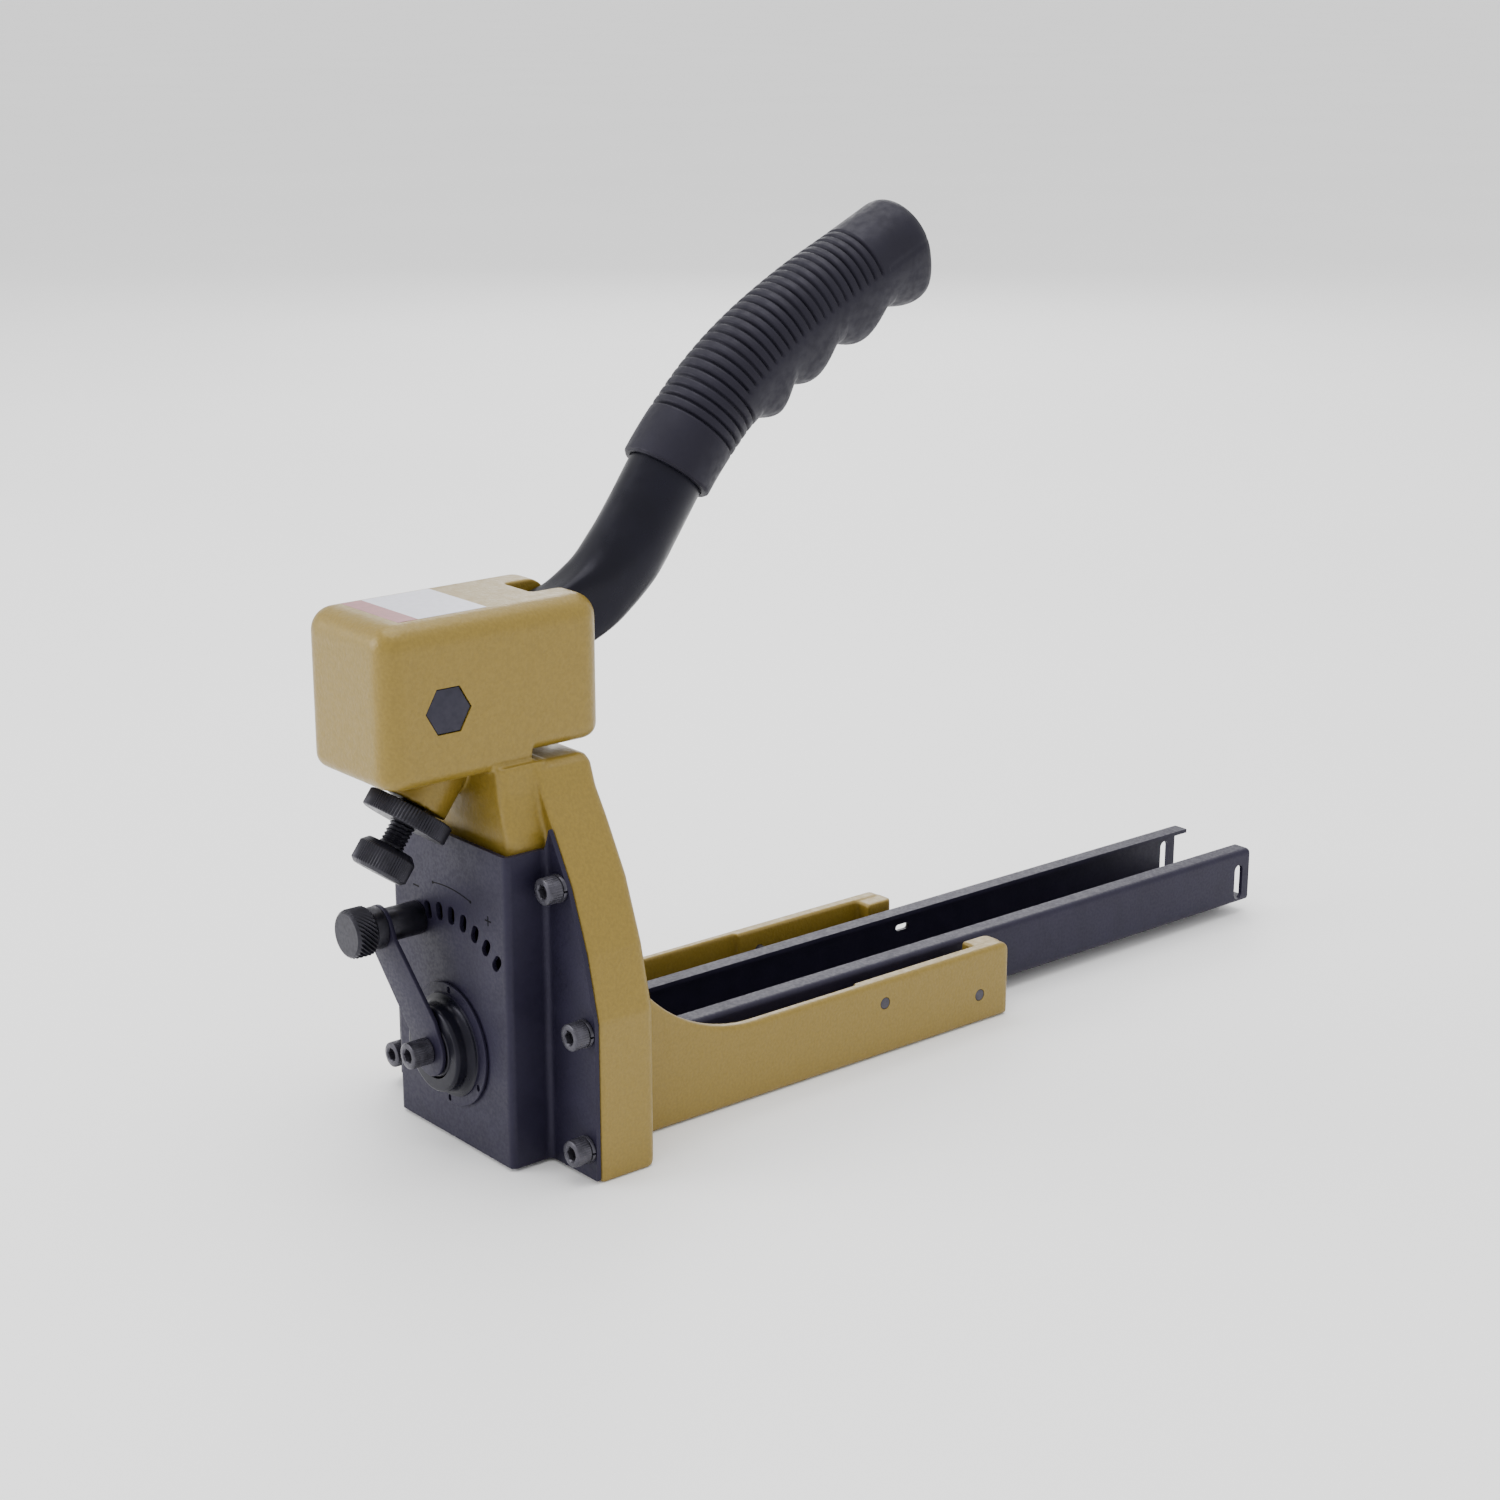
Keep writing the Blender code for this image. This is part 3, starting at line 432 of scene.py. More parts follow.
def make_materials():
    return {
        "gold": gold_paint(), "powder": black_powder(), "satin": satin_black(), "rubber": grip_rubber(),
        "oxide": dark_metal("black_oxide_steel", (0.005, 0.005, 0.0075), (0.010, 0.0095, 0.014), 0.38),
        "screw": dark_metal("phosphated_screw", (0.022, 0.021, 0.027), (0.05, 0.048, 0.06), 0.3),
        "bolt": dark_metal("dark_bolt", (0.010, 0.0095, 0.018), (0.016, 0.015, 0.026), 0.42, 0.35),
        "pin": dark_metal("ground_pin", (0.03, 0.028, 0.036), (0.055, 0.05, 0.062), 0.38, 0.3),
        "steel": bright_metal("zinc_plated_steel", (0.42, 0.42, 0.44), (0.6, 0.6, 0.62), 0.3),
        "bronze": bright_metal("sintered_bronze", (0.4, 0.26, 0.1), (0.52, 0.35, 0.15), 0.4),
        "white": printed_film("label_white", (0.5, 0.5, 0.58), (0.56, 0.56, 0.64)),
        "red": printed_film("label_red", (0.22, 0.055, 0.065), (0.27, 0.07, 0.08)),
        "mark": printed_film("stamped_mark", (0.001, 0.001, 0.002), (0.002, 0.002, 0.003), 0.0, 0.05),
    }


# ---------------------------------------------------------------- pieces

def shape(name, bm, material, body, *nodes, sharp=35.0, bevel=0.0):
    """A piece in the row frame that rides on a CAD body and stands for these CAD nodes."""
    bmesh.ops.transform(bm, matrix=Matrix.Translation((0, -MIDDLE_Y * MM, 0)) @ Matrix.Scale(MM, 4),
                        verts=bm.verts[:])
    mesh = bpy.data.meshes.new(name)
    bm.to_mesh(mesh)
    bm.free()
    mesh.materials.append(material)
    mesh.shade_smooth()
    mesh.set_sharp_from_angle(angle=math.radians(sharp))
    obj = bpy.data.objects.new(name, mesh)
    bpy.context.scene.collection.objects.link(obj)
    if bevel:
        soften(obj, bevel)
    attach(obj, body)
    if nodes:
        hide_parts(*nodes)
    return obj


def soften(obj, width_mm):
    """Small round edges that catch the light."""
    edge = obj.modifiers.new("edge", "BEVEL")
    edge.width, edge.segments, edge.limit_method = width_mm * MM, 2, "ANGLE"
    edge.angle_limit = math.radians(40)
    edge.use_clamp_overlap = True
    obj.modifiers.new("shading", "WEIGHTED_NORMAL").keep_sharp = False


# ---------------------------------------------------------------- casting

def head_solid():
    centre_y, half_y = (HEAD_FRONT_Y + HEAD_REAR_Y) / 2, (HEAD_REAR_Y - HEAD_FRONT_Y) / 2
    plan = rounded_rectangle(HEAD_HALF_X, half_y, HEAD_CORNER_R, (0, centre_y))
    upper = prism(plan, "z", HEAD_REAR_BOTTOM_Z, HEAD_TOP_Z, 4.5, 7.4, steps=10)
    lower = prism(plan, "z", HEAD_BOTTOM_Z, 150, 4.5, 3.0, steps=8)
    step = block((-30, 2.7, 120), (30, 40, 160))
    return combined(upper, add=[combined(lower, cut=[step])])


def neck_solid():
    levels = ((92, 29.4), (104, 29.4), (107, 28.8), (111, 27.2), (118, 25.4), (127, 24.2))
    return skin([[(x, y, z) for x, y in rounded_rectangle(half, 9.0, 3.0, (0, -2.2))]
                 for z, half in levels])


def arm_solid(side):
    sweep = arc((ARM_ARC_Y, ARM_ARC_Z), ARM_ARC_R, -90, -165, 40)
    corner = arc((ARM_END_Y - 3, ARM_TOP_Z - 3), 3, 0, 90, 8)
    low, high = sorted((side * ARM_INNER_X, side * ARM_OUTER_X))
    rounds = (0.6, 1.5) if side > 0 else (1.5, 0.6)
    return prism([(19, 0), (ARM_END_Y, 0)] + corner + sweep, "x", low, high, *rounds)


def arm_relief(side):
    """The arm's inner face is set back over its front two thirds."""
    low, high = sorted((side * (ARM_INNER_X - 2), side * (ARM_INNER_X + 1.6)))
    return block((low, COLUMN_REAR_Y + 1, 3), (high, 126, 60))


def end_block(side):
    inner, outer, far = 24.5, ARM_INNER_X + 1, ARM_END_Y - 0.4
    corner = arc((inner + 2, far - 2), 2, 90, 180, 6)
    plan = [(side * outer, 183)] + [(side * x, y) for x, y in [(outer, far)] + corner + [(inner, 183)]]
    return prism(plan[::side], "z", 0, ARM_TOP_Z - 0.4, 0.4, 0.4, 2)


def adjuster_line():
    a = math.radians(ADJUST_DEG)
    return (0, *ADJUST_AT), (0, math.sin(a), math.cos(a))


def head_slot():
    """The handle's slot through the head, the neck and the column's rear wall."""
    outline = [(-38, 129.5), (-13.5, 129.5), (-3, 122.3), (-3, 90), (18, 90), (18, 103), (34, 103),
               (34, 180), (14, 180), (14, 171), (-38, 171)]
    return prism(outline, "x", -SLOT_HALF_X, SLOT_HALF_X)


def hexagon(radius, steps=6):
    return circle(radius, (PIVOT_Y, PIVOT_Z), steps)


def make_casting(m):
    cavity_x = 24.0
    parts = [neck_solid(), prism(mirrored(COLUMN_FLANK), "y", COLUMN_FRONT_Y, COLUMN_REAR_Y, 0.6, 3.0),
             rod(10.4, *adjuster_line(), 4.0, 21)]
    parts += [make(side) for side in (1, -1) for make in (arm_solid, end_block)]
    cuts = [
        block((-cavity_x, -20, 31), (cavity_x, 17.5, 90)),
        block((-cavity_x, 5.2, 80), (cavity_x, 17.5, 121)),
        block((-19.4, -20, -5), (19.4, 5.0, 35)),
        block((-20.4, 0, 4.2), (20.4, 30, 25.8)),
        block((-46.7, -20, -5), (-19, 6.8, 34)),
        block((19, -20, -5), (46.7, 6.8, 34)),
        head_slot(),
        arm_relief(1),
        arm_relief(-1),
    ]
    rough = scratch(combined(head_solid(), add=parts, cut=cuts))
    cells = rough.modifiers.new("cells", "REMESH")
    cells.mode, cells.voxel_size = "VOXEL", CASTING_VOXEL
    ease = rough.modifiers.new("ease", "SMOOTH")
    ease.factor, ease.iterations = 0.5, 6
    cast = evaluated(rough)
    bores = [rod(4.2, (0, PIVOT_Y, PIVOT_Z), (1, 0, 0), -40, 40), rod(4.3, *adjuster_line(), -2, 27)]
    for side in (-1, 1):
        low, high = sorted((side * 16.6, side * 30))
        bores.append(prism(hexagon(8.05), "x", low, high))
        bores.append(rod(2.8, (side * CLINCH_X, 0, CLINCH_Z), (0, 1, 0), 5, 14.3))
        bores += [rod(2.15, (0, y, z), (side, 0, 0), 28, 40) for y, z in MAGAZINE_PINS]
        bores += [rod(2.75, (side * x, 0, z), (0, 1, 0), 0, 14.3) for x, z in COVER_SCREWS]
    shape("body_casting", combined(cast, cut=bores), m["gold"], "frame", "main_casting", sharp=50)


def make_label(m):
    """A blank two-tone label on the head's top."""
    half_x, skin_mm, top = 15.6, 0.12, HEAD_TOP_Z - 0.1
    sheets = (("label_field", -32.0, -8.0, "white"), ("label_band", -39.0, -32.0, "red"))
    for name, near, far, finish in sheets:
        plan = rounded_rectangle(half_x, (far - near) / 2, 0.4, (0, (near + far) / 2), 3)
        sheet = prism(plan, "z", top, top + skin_mm)
        shape(name, sheet, m[finish], "frame")


# ---------------------------------------------------------------- cover and its fixings

def about_shaft(degrees, radius):
    """X and Z of a point about the depth shaft; degrees run clockwise from straight up."""
    a = math.radians(degrees)
    return radius * math.sin(a), SHAFT_Z + radius * math.cos(a)


def detent_hole(degrees):
    a = math.radians(degrees)
    x, z = about_shaft(degrees, HOLE_RADIUS)
    reach = 1.25
    ends = [(x + s * reach * math.sin(a), z + s * reach * math.cos(a)) for s in (-1, 1)]
    return prism(slot_outline(ends[0], ends[1], 1.75, 1.75, 10), "y", -20, -10)


def make_cover(m):
    edge = 55.0
    path = filleted([(-edge, 0), (-COVER_HALF_X, 0), (-COVER_HALF_X, COVER_FRONT_Y),
                     (COVER_HALF_X, COVER_FRONT_Y), (COVER_HALF_X, 0), (edge, 0)], 2.4)
    sheet = prism(bent_sheet(path, SHEET), "z", 1.0, 120)
    flank = [(edge - 0.2, 0), (edge - 0.2, 52), (49.7, 72.5), (42.5, 92), (33.2, 108.4), (31.9, COVER_TOP_Z)]
    frame = [(70, -10), (70, 130), (-70, 130), (-70, -10)]
    trim = combined(prism(frame, "y", -40, 20), cut=[prism(mirrored(flank), "y", -50, 30)])
    cuts = [trim, rod(13.3, (0, 0, SHAFT_Z), (0, 1, 0), -20, -10)]
    cuts += [detent_hole(LEVER_DEG + i * HOLE_PITCH_DEG) for i in range(HOLE_COUNT)]
    for side in (-1, 1):
        cuts += [rod(2.9, (side * x, 0, z), (0, 1, 0), -5, 5) for x, z in COVER_SCREWS]
    shape("cover_plate", combined(sheet, cut=cuts), m["powder"], "frame", "front_cover", bevel=0.3)


def make_cover_marks(m):
    """A thin scale arc with a dot at each end, and plus and minus marks beside it."""
    radius, half, back, front = 51.8, 0.18, COVER_FRONT_Y + 0.1, COVER_FRONT_Y - 0.04
    start, end = -9, 14
    turns = [start + (end - start) * i / 40 for i in range(41)]
    band = [about_shaft(t, radius - half) for t in turns]
    band += [about_shaft(t, radius + half) for t in turns[::-1]]
    parts = [prism(band, "y", front, back)]
    parts += [rod(0.5, (x, 0, z), (0, 1, 0), front, back, 20) for x, z in
              (about_shaft(start, radius), about_shaft(end, radius))]
    for centre, upright in ((about_shaft(-20.4, 50.8), False), (about_shaft(25, 51.5), True)):
        x, z = centre
        parts.append(block((x - 1.6, front, z - 0.25), (x + 1.6, back, z + 0.25)))
        if upright:
            parts.append(block((x - 0.25, front, z - 1.6), (x + 0.25, back, z + 1.6)))
    shape("cover_marks", combined(parts[0], add=parts[1:]), m["mark"], "frame")


def socket_screw(x, z, face, under, tip, socket_depth=2.6):
    """A cap screw along Y: head with a hexagon socket and fine grip ridges, and its shank."""
    radius, shank, chamfer = SCREW_HEAD_R, SCREW_SHANK_R, 0.45
    profile = [(shank - 0.3, tip, 0), (shank, tip - 0.6, 0), (shank, under, 0), (radius - 0.15, under, 0),
               (radius, under - 0.2, 1), (radius, face + chamfer + 0.15, 1),
               (radius - 0.12, face + chamfer * 0.6, 0), (radius - 0.45, face + 0.1, 0),
               (radius - 0.7, face, 0)]
    head = knurled(profile, (x, 0, z), (0, 1, 0), 36, 0.14)
    socket = prism(circle(SOCKET_R, (x, z), 6), "y", face - 1, face + socket_depth)
    entry = turned([(2.7, face - 0.1), (2.05, face + 0.45)], (x, 0, z), (0, 1, 0))
    return combined(head, cut=[socket, entry])


def spring_washer(x, z, low, high):
    """A split ring."""
    bore, out, edge = SCREW_SHANK_R + 0.25, WASHER_R, WASHER_R - 0.05
    ring = turned([(bore, high), (edge, high), (out, high - 0.1), (out, low + 0.1), (edge, low),
                   (bore, low)], (x, 0, z), (0, 1, 0), True)
    gap = block((x + 1.5, low - 1, z - 0.35), (x + 6, high + 1, z + 0.35))
    return combined(ring, cut=[gap])


def make_cover_screws(m):
    places = [(side * x, z) for side in (-1, 1) for x, z in COVER_SCREWS]
    for number, (x, z) in enumerate(places, 1):
        shape(f"cap_screw_{number}", socket_screw(x, z, -6.5, -1.5, 13.6), m["screw"], "frame",
              f"cover_screw_{number}", sharp=30)
        shape(f"spring_washer_{number}", spring_washer(x, z, -1.3, -0.2), m["screw"], "frame",
              f"cover_washer_{number}")


def make_shaft_housing(m):
    """A glossy boss on a flange with four small slots; the flange stands a little off the plate."""
    bore, back, inner, plate = 9.5, -10.0, 13, COVER_FRONT_Y - GAP
    fillet = arc((16.4, -19.3), 2.4, 180, 90, 8)
    rim = arc((BOSS_R - 1.2, BOSS_FRONT_Y + 1.2), 1.2, -90, 0, 6)
    profile = ([(bore, BOSS_FRONT_Y)] + rim + fillet
               + [(16.7, -16.8), (16.8, FLANGE_Y), (FLANGE_R - 0.2, FLANGE_Y), (FLANGE_R, FLANGE_Y + 0.2),
                  (FLANGE_R, plate), (inner, plate), (inner, back), (bore, back)])
    places = [about_shaft(turn, FLANGE_HOLE_R) for turn in FLANGE_HOLE_DEG]
    slots = [slot_outline((x, z - 0.4), (x, z + 0.4), 0.75, 0.75) for x, z in places]
    holes = [prism(slot, "y", -18, -15.6) for slot in slots]
    solid = turned(profile, (0, 0, SHAFT_Z), (0, 1, 0), True, 96)
    boss = shape("shaft_boss", combined(solid, cut=holes), m["powder"], "frame", "shaft_housing", sharp=30)
    boss.data.materials.append(m["satin"])
    for face in boss.data.polygons:
        middle = face.center
        if math.hypot(middle.x, middle.z - SHAFT_Z * MM) < 16.6 * MM:
            face.material_index = 1


# ---------------------------------------------------------------- magazine and pivot

def make_magazine(m):
    x, low, top, lip = MAGAZINE_HALF_X, MAGAZINE_LOW_Z, MAGAZINE_TOP_Z, 12.5
    path = filleted([(-lip, top), (-x, top), (-x, low), (x, low), (x, top), (lip, top)], 2.2)
    channel = prism(bent_sheet(path, SHEET), "y", MAGAZINE_FRONT_Y, MAGAZINE_REAR_Y)
    rear_slot = slot_outline((337.5, 8.2), (337.5, 17.8), 2.25, 2.25)
    side_slot = slot_outline((192.5, 17.3), (196.5, 17.3), 1.2, 1.2)
    cuts = [prism(rear_slot, "x", -30, 30), prism(side_slot, "x", -30, 0)]
    shape("staple_channel", combined(channel, cut=cuts), m["powder"], "frame", "magazine_channel", bevel=0.3)
    places = [(side, y, z) for side in (-1, 1) for y, z in MAGAZINE_PINS]
    for number, (side, y, z) in enumerate(places, 1):
        pin = [(2.0, x + 0.3), (2.0, ARM_OUTER_X - 0.15), (1.9, ARM_OUTER_X - 0.02), (1.6, ARM_OUTER_X)]
        shape(f"channel_pin_{number}", turned(pin, (0, y, z), (side, 0, 0), steps=48), m["pin"], "frame",
              f"magazine_pin_{number}")


def make_pivot_bolt(m):
    face = HEAD_HALF_X - 0.25
    head = prism(hexagon(7.75), "x", 16.9, face, 0, 0.25)
    shank = rod(4.0, (0, PIVOT_Y, PIVOT_Z), (1, 0, 0), -21.0, 17.5)
    shape("pivot_screw", combined(head, add=[shank]), m["bolt"], "frame", "pivot_bolt")
    nut = prism(hexagon(7.75), "x", -face, -16.9, 0.25, 0)
    bore = rod(4.2, (0, PIVOT_Y, PIVOT_Z), (1, 0, 0), -30, -10)
    shape("pivot_lock_nut", combined(nut, cut=[bore]), m["bolt"], "frame", "pivot_nut")


# ---------------------------------------------------------------- handle

# Y, Z, half width across the tool, half depth, and how square the section is (2 is an ellipse)
HANDLE_LINE = [
    (-20, 149.9, 6.8, 9.2, 8), (0, 155.0, 6.8, 10.5, 8), (22, 160.5, 6.8, 11.0, 8),
    (33, 164.2, 6.9, 11.0, 6), (44.2, 170.4, 9.6, 11.8, 3), (54.3, 179.7, 11.8, 12.7, 2.2),
    (62.5, 190.4, 12.0, 12.9, 2), (71.5, 203.1, 12.0, 12.9, 2), (80.5, 214.1, 12.0, 12.9, 2),
    (94.4, 228.1, 12.0, 12.9, 2), (110.4, 240.1, 12.0, 12.9, 2), (130.3, 251.5, 12.0, 12.9, 2),
    (150.7, 261.1, 12.0, 12.9, 2), (172.1, 271.4, 12.0, 12.9, 2),
]
GRIP_START, GRIP_END, BAR_END = 7.0, 13.0, 12.5
FINGER_RIDGES = [9.55, 10.5, 11.6, 12.65]       # places along HANDLE_LINE
FINGER_START, FINGER_BASE, FINGER_RISE = 8.7, 1.5, 4.8
GROOVES, FULL_GROOVES, GROOVE_FIRST, GROOVE_LAST = 25, 5, 0.135, 0.80      # places as shares of the grip


SEAM_SINE = 0.02                                # where the mould's parting line runs, as a sine


def on_handle(place):
    """The handle line at a place given in stations: a Catmull-Rom curve through HANDLE_LINE."""
    last = len(HANDLE_LINE) - 1
    i = min(max(int(math.floor(place)), 0), last - 1)
    t = place - i
    a, b, c, d = (HANDLE_LINE[min(max(i + k, 0), last)] for k in (-1, 0, 1, 2))
    return tuple(0.5 * (2 * q + (r - p) * t + (2 * p - 5 * q + 4 * r - s) * t * t
                        + (3 * q - p - 3 * r + s) * t ** 3) for p, q, r, s in zip(a, b, c, d))


def handle_ring(place, half_x, half_depth, power, steps=64):
    """A cross-section of the handle; half_depth gives the depth for the sine of a point's angle."""
    y, z = on_handle(place)[:2]
    ahead, behind = on_handle(place + 0.05), on_handle(place - 0.05)
    heading = math.atan2(ahead[1] - behind[1], ahead[0] - behind[0])
    ring = []
    for k in range(steps):
        a = 2 * math.pi * k / steps
        c, s = math.cos(a), math.sin(a)
        scale = (abs(c) ** power + abs(s) ** power) ** (-1 / power)
        depth = half_depth(s) * s * scale
        width = (half_x(s) if callable(half_x) else half_x) * c * scale
        ring.append((width, y - math.sin(heading) * depth, z + math.cos(heading) * depth))
    return ring


def plain_ring(place, grow=0.0):
    _, _, half_x, depth, power = on_handle(place)
    return handle_ring(place, half_x + grow, lambda s: depth + grow, power)


def finger_depth(place):
    """How far the grip's underside stands out: its full width, and the narrower ridges between fingers."""
    nearest = min(abs(place - ridge) for ridge in FINGER_RIDGES)
    ridge = max(0.0, math.cos(min(nearest / 0.46, 1.0) * math.pi / 2))
    base = min(max((place - FINGER_START) / (FINGER_RIDGES[0] - FINGER_START), 0.0), 1.0)
    return FINGER_BASE * base, FINGER_RISE * ridge


def finger_relief(place, s):
    """The underside's extra depth at the sine of a point's angle round the grip."""
    base, ridge = finger_depth(place)
    low = min(max((-s - 0.25) / 0.6, 0.0), 1.0)
    return base * min(max(-1.6 * s, 0.0), 1.0) + ridge * low * low * (3 - 2 * low)


def grip_lengths(count=600):
    """Places along the grip with the share of its length that lies before each."""
    stations = [GRIP_START + (GRIP_END - GRIP_START) * i / count for i in range(count + 1)]
    points = [on_handle(p)[:2] for p in stations]
    run = [0.0]
    for a, b in zip(points, points[1:]):
        run.append(run[-1] + math.dist(a, b))
    return [(p, r / run[-1]) for p, r in zip(stations, run)], run[-1]


def grip_ring(place, share, radius, length):
    """A ring of the grip with the groove, if any, at this share of its length."""
    pitch = (GROOVE_LAST - GROOVE_FIRST) / (GROOVES - 1)
    nearest = min(max(round((share - GROOVE_FIRST) / pitch), 0), GROOVES - 1)
    away = (share - GROOVE_FIRST - nearest * pitch) * length
    dip = 1.05 * math.exp(-(away / 0.48) ** 2)
    low_side = -2.0 if nearest < FULL_GROOVES else SEAM_SINE
    seam = 0.16 if share > GROOVE_LAST + pitch else 0.0

    def radius_at(s):
        return radius - (dip if s > low_side else 0.0) - (seam if abs(s - SEAM_SINE) < 0.03 else 0.0)

    def depth_at(s):
        return radius_at(s) + finger_relief(place, s)
    return handle_ring(place, radius_at, depth_at, 2, steps=128)


def make_grip(m):
    stations, length = grip_lengths()
    inside = [plain_ring(GRIP_START + (BAR_END + 0.03 - GRIP_START) * i / 12, 0.3) for i in range(13)][::-1]
    inside = [ring_resized(ring, 128) for ring in inside]
    outside = []
    for place, share in stations:
        along = share * length
        if along > length - 6.0:
            break
        radius = GRIP_R - 0.7 * math.exp(-(along / 0.5) ** 2) if along < 4 else GRIP_R
        outside.append(grip_ring(place, share, radius, length))
    cap_place = place
    for i in range(1, 10):
        a = math.radians(10 * i)
        at = cap_place + (GRIP_END - cap_place) * math.sin(a)
        radius = GRIP_R - 6 * (1 - math.cos(a))
        outside.append(grip_ring(at, 0.99, radius, length))
    shape("ridged_grip", skin(inside + outside), m["rubber"], "handle", "handle_grip", sharp=60)


def ring_resized(ring, count):
    """The same closed ring with another number of points."""
    old = len(ring)
    made = []
    for k in range(count):
        t = k * old / count
        i, f = int(t), t - int(t)
        a, b = ring[i % old], ring[(i + 1) % old]
        made.append(tuple(a[j] * (1 - f) + b[j] * f for j in range(3)))
    return made


def make_bar(m):
    bar = skin([plain_ring(BAR_END * i / 120) for i in range(121)])
    hub = rod(9.5, (0, PIVOT_Y, PIVOT_Z), (1, 0, 0), -LEVER_HALF_X, LEVER_HALF_X)
    fork = prism([(-9, 130), (26, 130), (26, 149), (12.5, 163.6), (-2, 163.6), (-9, 158)], "x", -3.3, 3.3)
    a = math.radians(ROLLER_ANGLE)
    roller = (0, PIVOT_Y + ROLLER_REACH * math.cos(a), PIVOT_Z + ROLLER_REACH * math.sin(a))
    cuts = [fork, rod(6.2, (0, PIVOT_Y, PIVOT_Z), (1, 0, 0), -20, 20), rod(2.1, roller, (1, 0, 0), -20, 20)]
    shape("lever_bar", combined(bar, add=[hub], cut=cuts), m["satin"], "handle", "handle_bar", sharp=40)


# ---------------------------------------------------------------- depth and tightness adjusters

def make_depth_adjuster(m):
    axis = (0, 0, SHAFT_Z)
    front = LEVER_FACE_Y + LEVER_SHEET + GAP
    shaft = turned([(8.6, front), (9.0, front + 0.4), (9.0, -8.0)], axis, (0, 1, 0), steps=72)
    cam = rod(6.5, (0, 0, SHAFT_Z + 2.2), (0, 1, 0), -8.4, -2.2)
    bore = rod(2.75, axis, (0, 1, 0), -30, -14)
    shape("setting_shaft", combined(shaft, add=[cam], cut=[bore]), m["oxide"], "depth_lever", "depth_shaft")
    x, z = about_shaft(LEVER_DEG, LEVER_RADIUS)
    shape("setting_lever", lever_sheet(x, z), m["powder"], "depth_lever", "depth_lever", sharp=30)
    screw = socket_screw(0, SHAFT_Z, LEVER_SCREW_FACE_Y, LEVER_FACE_Y - GAP, LEVER_SCREW_TIP_Y)
    shape("lever_cap_screw", screw, m["screw"], "depth_lever", "lever_screw", sharp=30)


def lever_sheet(x, z):
    """The lever: a flat sheet with its upper part set forward along a smooth ramp."""
    sheet = prism(slot_outline((0, SHAFT_Z), (x, z), LEVER_FOOT_R, LEVER_TIP_R, 32), "y", LEVER_FACE_Y,
                  LEVER_FACE_Y + LEVER_SHEET, 0.25, 0.25, 3)
    holes = [rod(2.75, (0, 0, SHAFT_Z), (0, 1, 0), -30, -20), rod(5.1, (x, 0, z), (0, 1, 0), -30, -20)]
    sheet = combined(sheet, cut=holes)
    foot, along = Vector((0, 0, SHAFT_Z)), Vector((x, 0, z - SHAFT_Z)).normalized()
    (ramp_start, ramp_end), cuts = LEVER_RAMP, 14
    for i in range(cuts + 1):
        reach = ramp_start + (ramp_end - ramp_start) * i / cuts
        bmesh.ops.bisect_plane(sheet, geom=sheet.verts[:] + sheet.edges[:] + sheet.faces[:], dist=1e-4,
                               plane_co=foot + along * reach, plane_no=along)
    for vertex in sheet.verts:
        done = ((vertex.co - foot).dot(along) - ramp_start) / (ramp_end - ramp_start)
        done = min(max(done, 0.0), 1.0)
        vertex.co.y -= LEVER_RISE * done
    return sheet


def make_plunger(m):
    x, z = about_shaft(LEVER_DEG, LEVER_RADIUS)
    front, back = LEVER_FACE_Y - LEVER_RISE, LEVER_FACE_Y - LEVER_RISE + LEVER_SHEET
    bore, flange, hub, tube, foot = 2.2, front - PLUNGER_FLANGE, 4.9, 5.4, COVER_FRONT_Y - 0.4
    sleeve = [(bore, flange), (6.3, flange), (6.7, flange + 0.2), (6.85, flange + 0.6),
              (6.85, front - GAP), (hub, front - GAP), (hub, back + GAP), (5.2, back + GAP),
              (tube, back + 0.6), (tube, foot - 0.3), (5.2, foot), (bore, foot)]
    shape("guide_sleeve", turned(sleeve, (x, 0, z), (0, 1, 0), True), m["oxide"], "depth_lever",
          "plunger_sleeve")
    rear, r = flange - GAP, KNOB_R
    profile = [(r - 0.7, rear, 0), (r - 0.2, rear - 0.35, 0.3)]
    profile += [(r, rear - 0.5 - 5.2 * i / 10, 1) for i in range(11)]
    profile += [(r - 0.2, KNOB_FRONT_Y + 0.9, 0.4), (r - 0.7, KNOB_FRONT_Y + 0.3, 0),
                (r - 1.1, KNOB_FRONT_Y, 0)]
    knob = knurled(profile, (x, 0, z), (0, 1, 0), 30, 0.62, slant=0.13)
    shape("pull_knob", knob, m["oxide"], "plunger", "plunger_knob", sharp=30)


def make_tightness_adjuster(m):
    line = adjuster_line()
    screw = threaded(4.0, -10.1, 23.4, 1.25, 0.62, *line)
    shape("threaded_rod", screw, m["oxide"], "adjuster", "adjuster_screw", sharp=25)
    r = ADJUST_KNOB_R
    profile = [(7.6, -19.5, 0), (8.0, -19.4, 0), (r - 0.15, -18.5, 0.4), (r, -18.2, 1), (r, -12.6, 1),
               (r - 0.2, -12.3, 0.4), (7.3, -10.5, 0), (7.0, -10.4, 0)]
    shape("adjusting_knob", knurled(profile, *line, 64, 0.3), m["oxide"], "adjuster", "adjuster_knob",
          sharp=30)
    bore, half = 4.25, DISC_HALF
    edge = [(DISC_R - 0.6, half, 0), (DISC_R - 0.2, half - 0.25, 0.4), (DISC_R, half - 0.45, 1)]
    disc = [(bore, -half, 0)] + [(r, -y, share) for r, y, share in edge] + edge[::-1] + [(bore, half, 0)]
    shape("locking_disc", knurled(disc, *line, 84, 0.36, closed=True), m["oxide"], "lock_disc", "lock_disc",
          sharp=30)


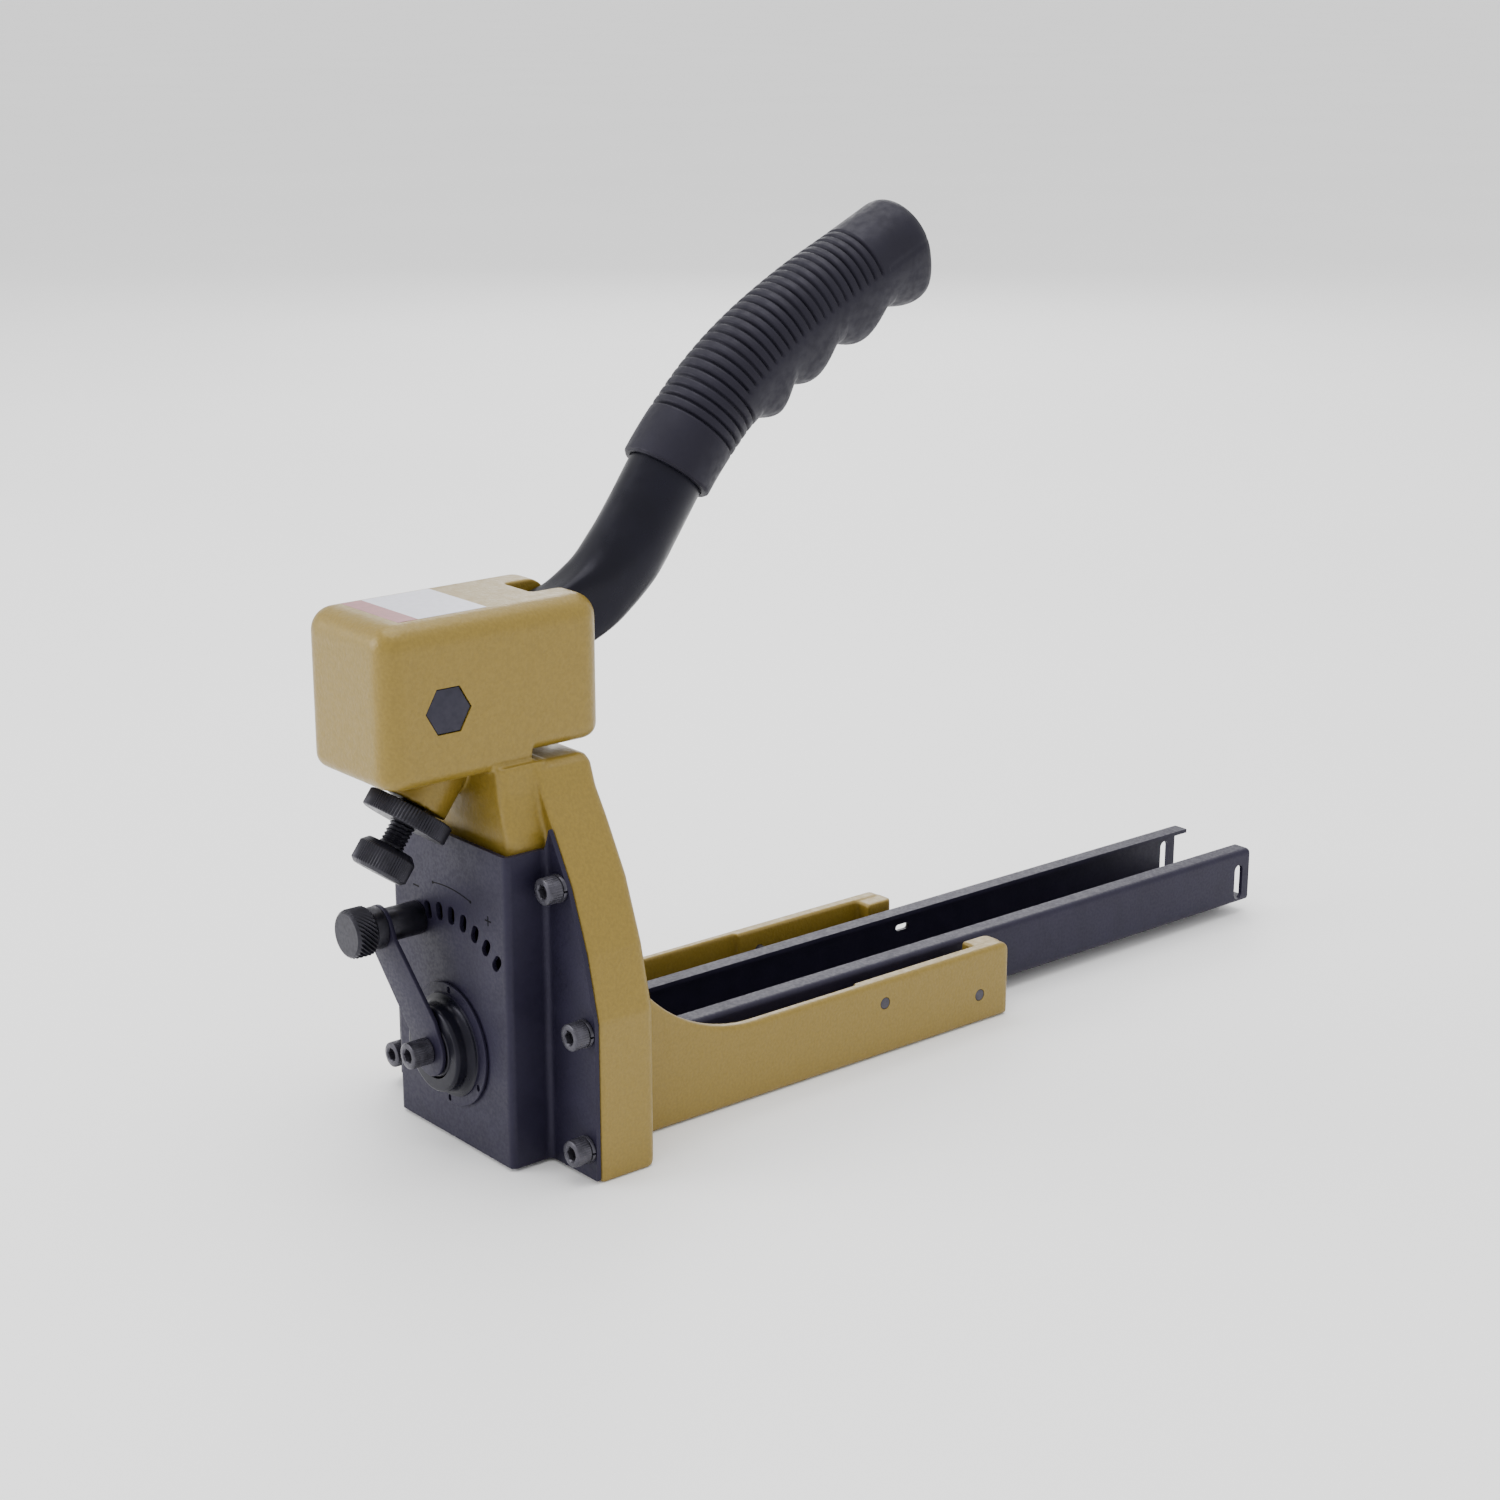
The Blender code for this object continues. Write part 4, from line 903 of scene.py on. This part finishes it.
def make_return_spring(m):
    """The coil between the guide plate and the driver, built at rest; the real coil shortens as the driver
    comes down.
    """
    radius, wire, foot, height, turns, steps, sides = 5.4, 0.8, (0, 11.1, 31.3), 30.3, 5, 48, 12
    rings = []
    for i in range(turns * steps + 1):
        a, share = 2 * math.pi * i / steps, i / (turns * steps)
        eased = share - 0.09 * math.sin(2 * math.pi * share)
        out = Vector((math.cos(a), math.sin(a), 0))
        centre = Vector(foot) + out * radius + Vector((0, 0, wire + (height - 2 * wire) * eased))
        rings.append([centre + (out * math.cos(b) + Vector((0, 0, math.sin(b)))) * wire
                      for b in (2 * math.pi * k / sides for k in range(sides))])
    spring = shape("coil_spring", skin(rings), m["steel"], "frame", "return_spring", sharp=60)
    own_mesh(spring)


def finish_inner_nodes(m):
    """The mechanism inside keeps its CAD shapes, with round edges and real metals."""
    finishes = {"bronze": "bronze", "bright_steel": "steel", "dark_screw": "screw", "black_oxide": "oxide",
                "black_powder": "powder", "black_rubber": "rubber", "gold_casting": "gold"}
    slots = {s["node"]: s["material_slot"] for s in frame["record"]["subparts"]}
    for name, obj in frame["nodes"].items():
        for place in obj.material_slots:
            place.material = m[finishes[slots[name]]]
        if not obj.hide_render:
            soften(obj, 0.2)


# ---------------------------------------------------------------- surroundings

def make_floor():
    s = Shader("pale_floor", 0.6)
    s.colour(s.ramp(s.noise(400.0, 2), (0.95, 0.95, 0.95), (0.97, 0.97, 0.97)))
    half = 30.0
    bm = bmesh.new()
    bm.faces.new([bm.verts.new((x, y, -0.0002)) for x, y in
                  ((-half, -half), (half, -half), (half, half), (-half, half))])
    mesh = bpy.data.meshes.new("floor")
    bm.to_mesh(mesh)
    bm.free()
    mesh.materials.append(s.material)
    floor = bpy.data.objects.new("floor", mesh)
    bpy.context.scene.collection.objects.link(floor)


def soft_light(name, place, aim, size, power, colour=(1, 1, 1)):
    lamp = bpy.data.lights.new(name, "AREA")
    lamp.shape, lamp.size, lamp.energy, lamp.color = "DISK", size, power, colour
    obj = bpy.data.objects.new(name, lamp)
    obj.location = place
    obj.rotation_euler = (Vector(aim) - Vector(place)).to_track_quat("-Z", "Y").to_euler()
    bpy.context.scene.collection.objects.link(obj)


def make_lights():
    sky = bpy.data.worlds.new("studio")
    sky.use_nodes = True
    sky.node_tree.nodes["Background"].inputs["Color"].default_value = (1.0, 1.0, 1.0, 1.0)
    sky.node_tree.nodes["Background"].inputs["Strength"].default_value = 1.3
    bpy.context.scene.world = sky
    soft_light("top_softbox", (-0.1, 0.0, 1.6), (0, 0, 0.05), 1.6, 20.0)
    soft_light("front_softbox", (-0.9, -1.5, 0.7), (0, -0.1, 0.1), 1.1, 17.0)
    soft_light("rear_softbox", (-1.5, 1.3, 0.95), (0, 0, 0.1), 0.9, 10.0)


def make_camera():
    """Three-quarter view from the front right, a little above the tool."""
    azimuth, elevation = math.radians(50.2), math.radians(16.4)
    ahead = Vector((-math.sin(azimuth) * math.cos(elevation), math.cos(azimuth) * math.cos(elevation),
                    -math.sin(elevation)))
    lens = bpy.data.cameras.new("camera")
    lens.lens, lens.sensor_width = 64.54, 36.0
    lens.clip_start, lens.clip_end = 0.05, 100.0
    camera = bpy.data.objects.new("camera", lens)
    camera.location = Vector((660.3, -443.9 - MIDDLE_Y, 358.8)) * MM
    camera.rotation_euler = ahead.to_track_quat("-Z", "Y").to_euler()
    bpy.context.scene.collection.objects.link(camera)
    bpy.context.scene.camera = camera


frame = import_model()
materials = make_materials()
make_camera()
make_lights()
make_floor()
for build in (make_casting, make_label, make_cover, make_cover_marks, make_cover_screws, make_shaft_housing,
              make_magazine, make_pivot_bolt, make_bar, make_grip, make_depth_adjuster,
              make_plunger, make_tightness_adjuster, make_return_spring, finish_inner_nodes):
    build(materials)
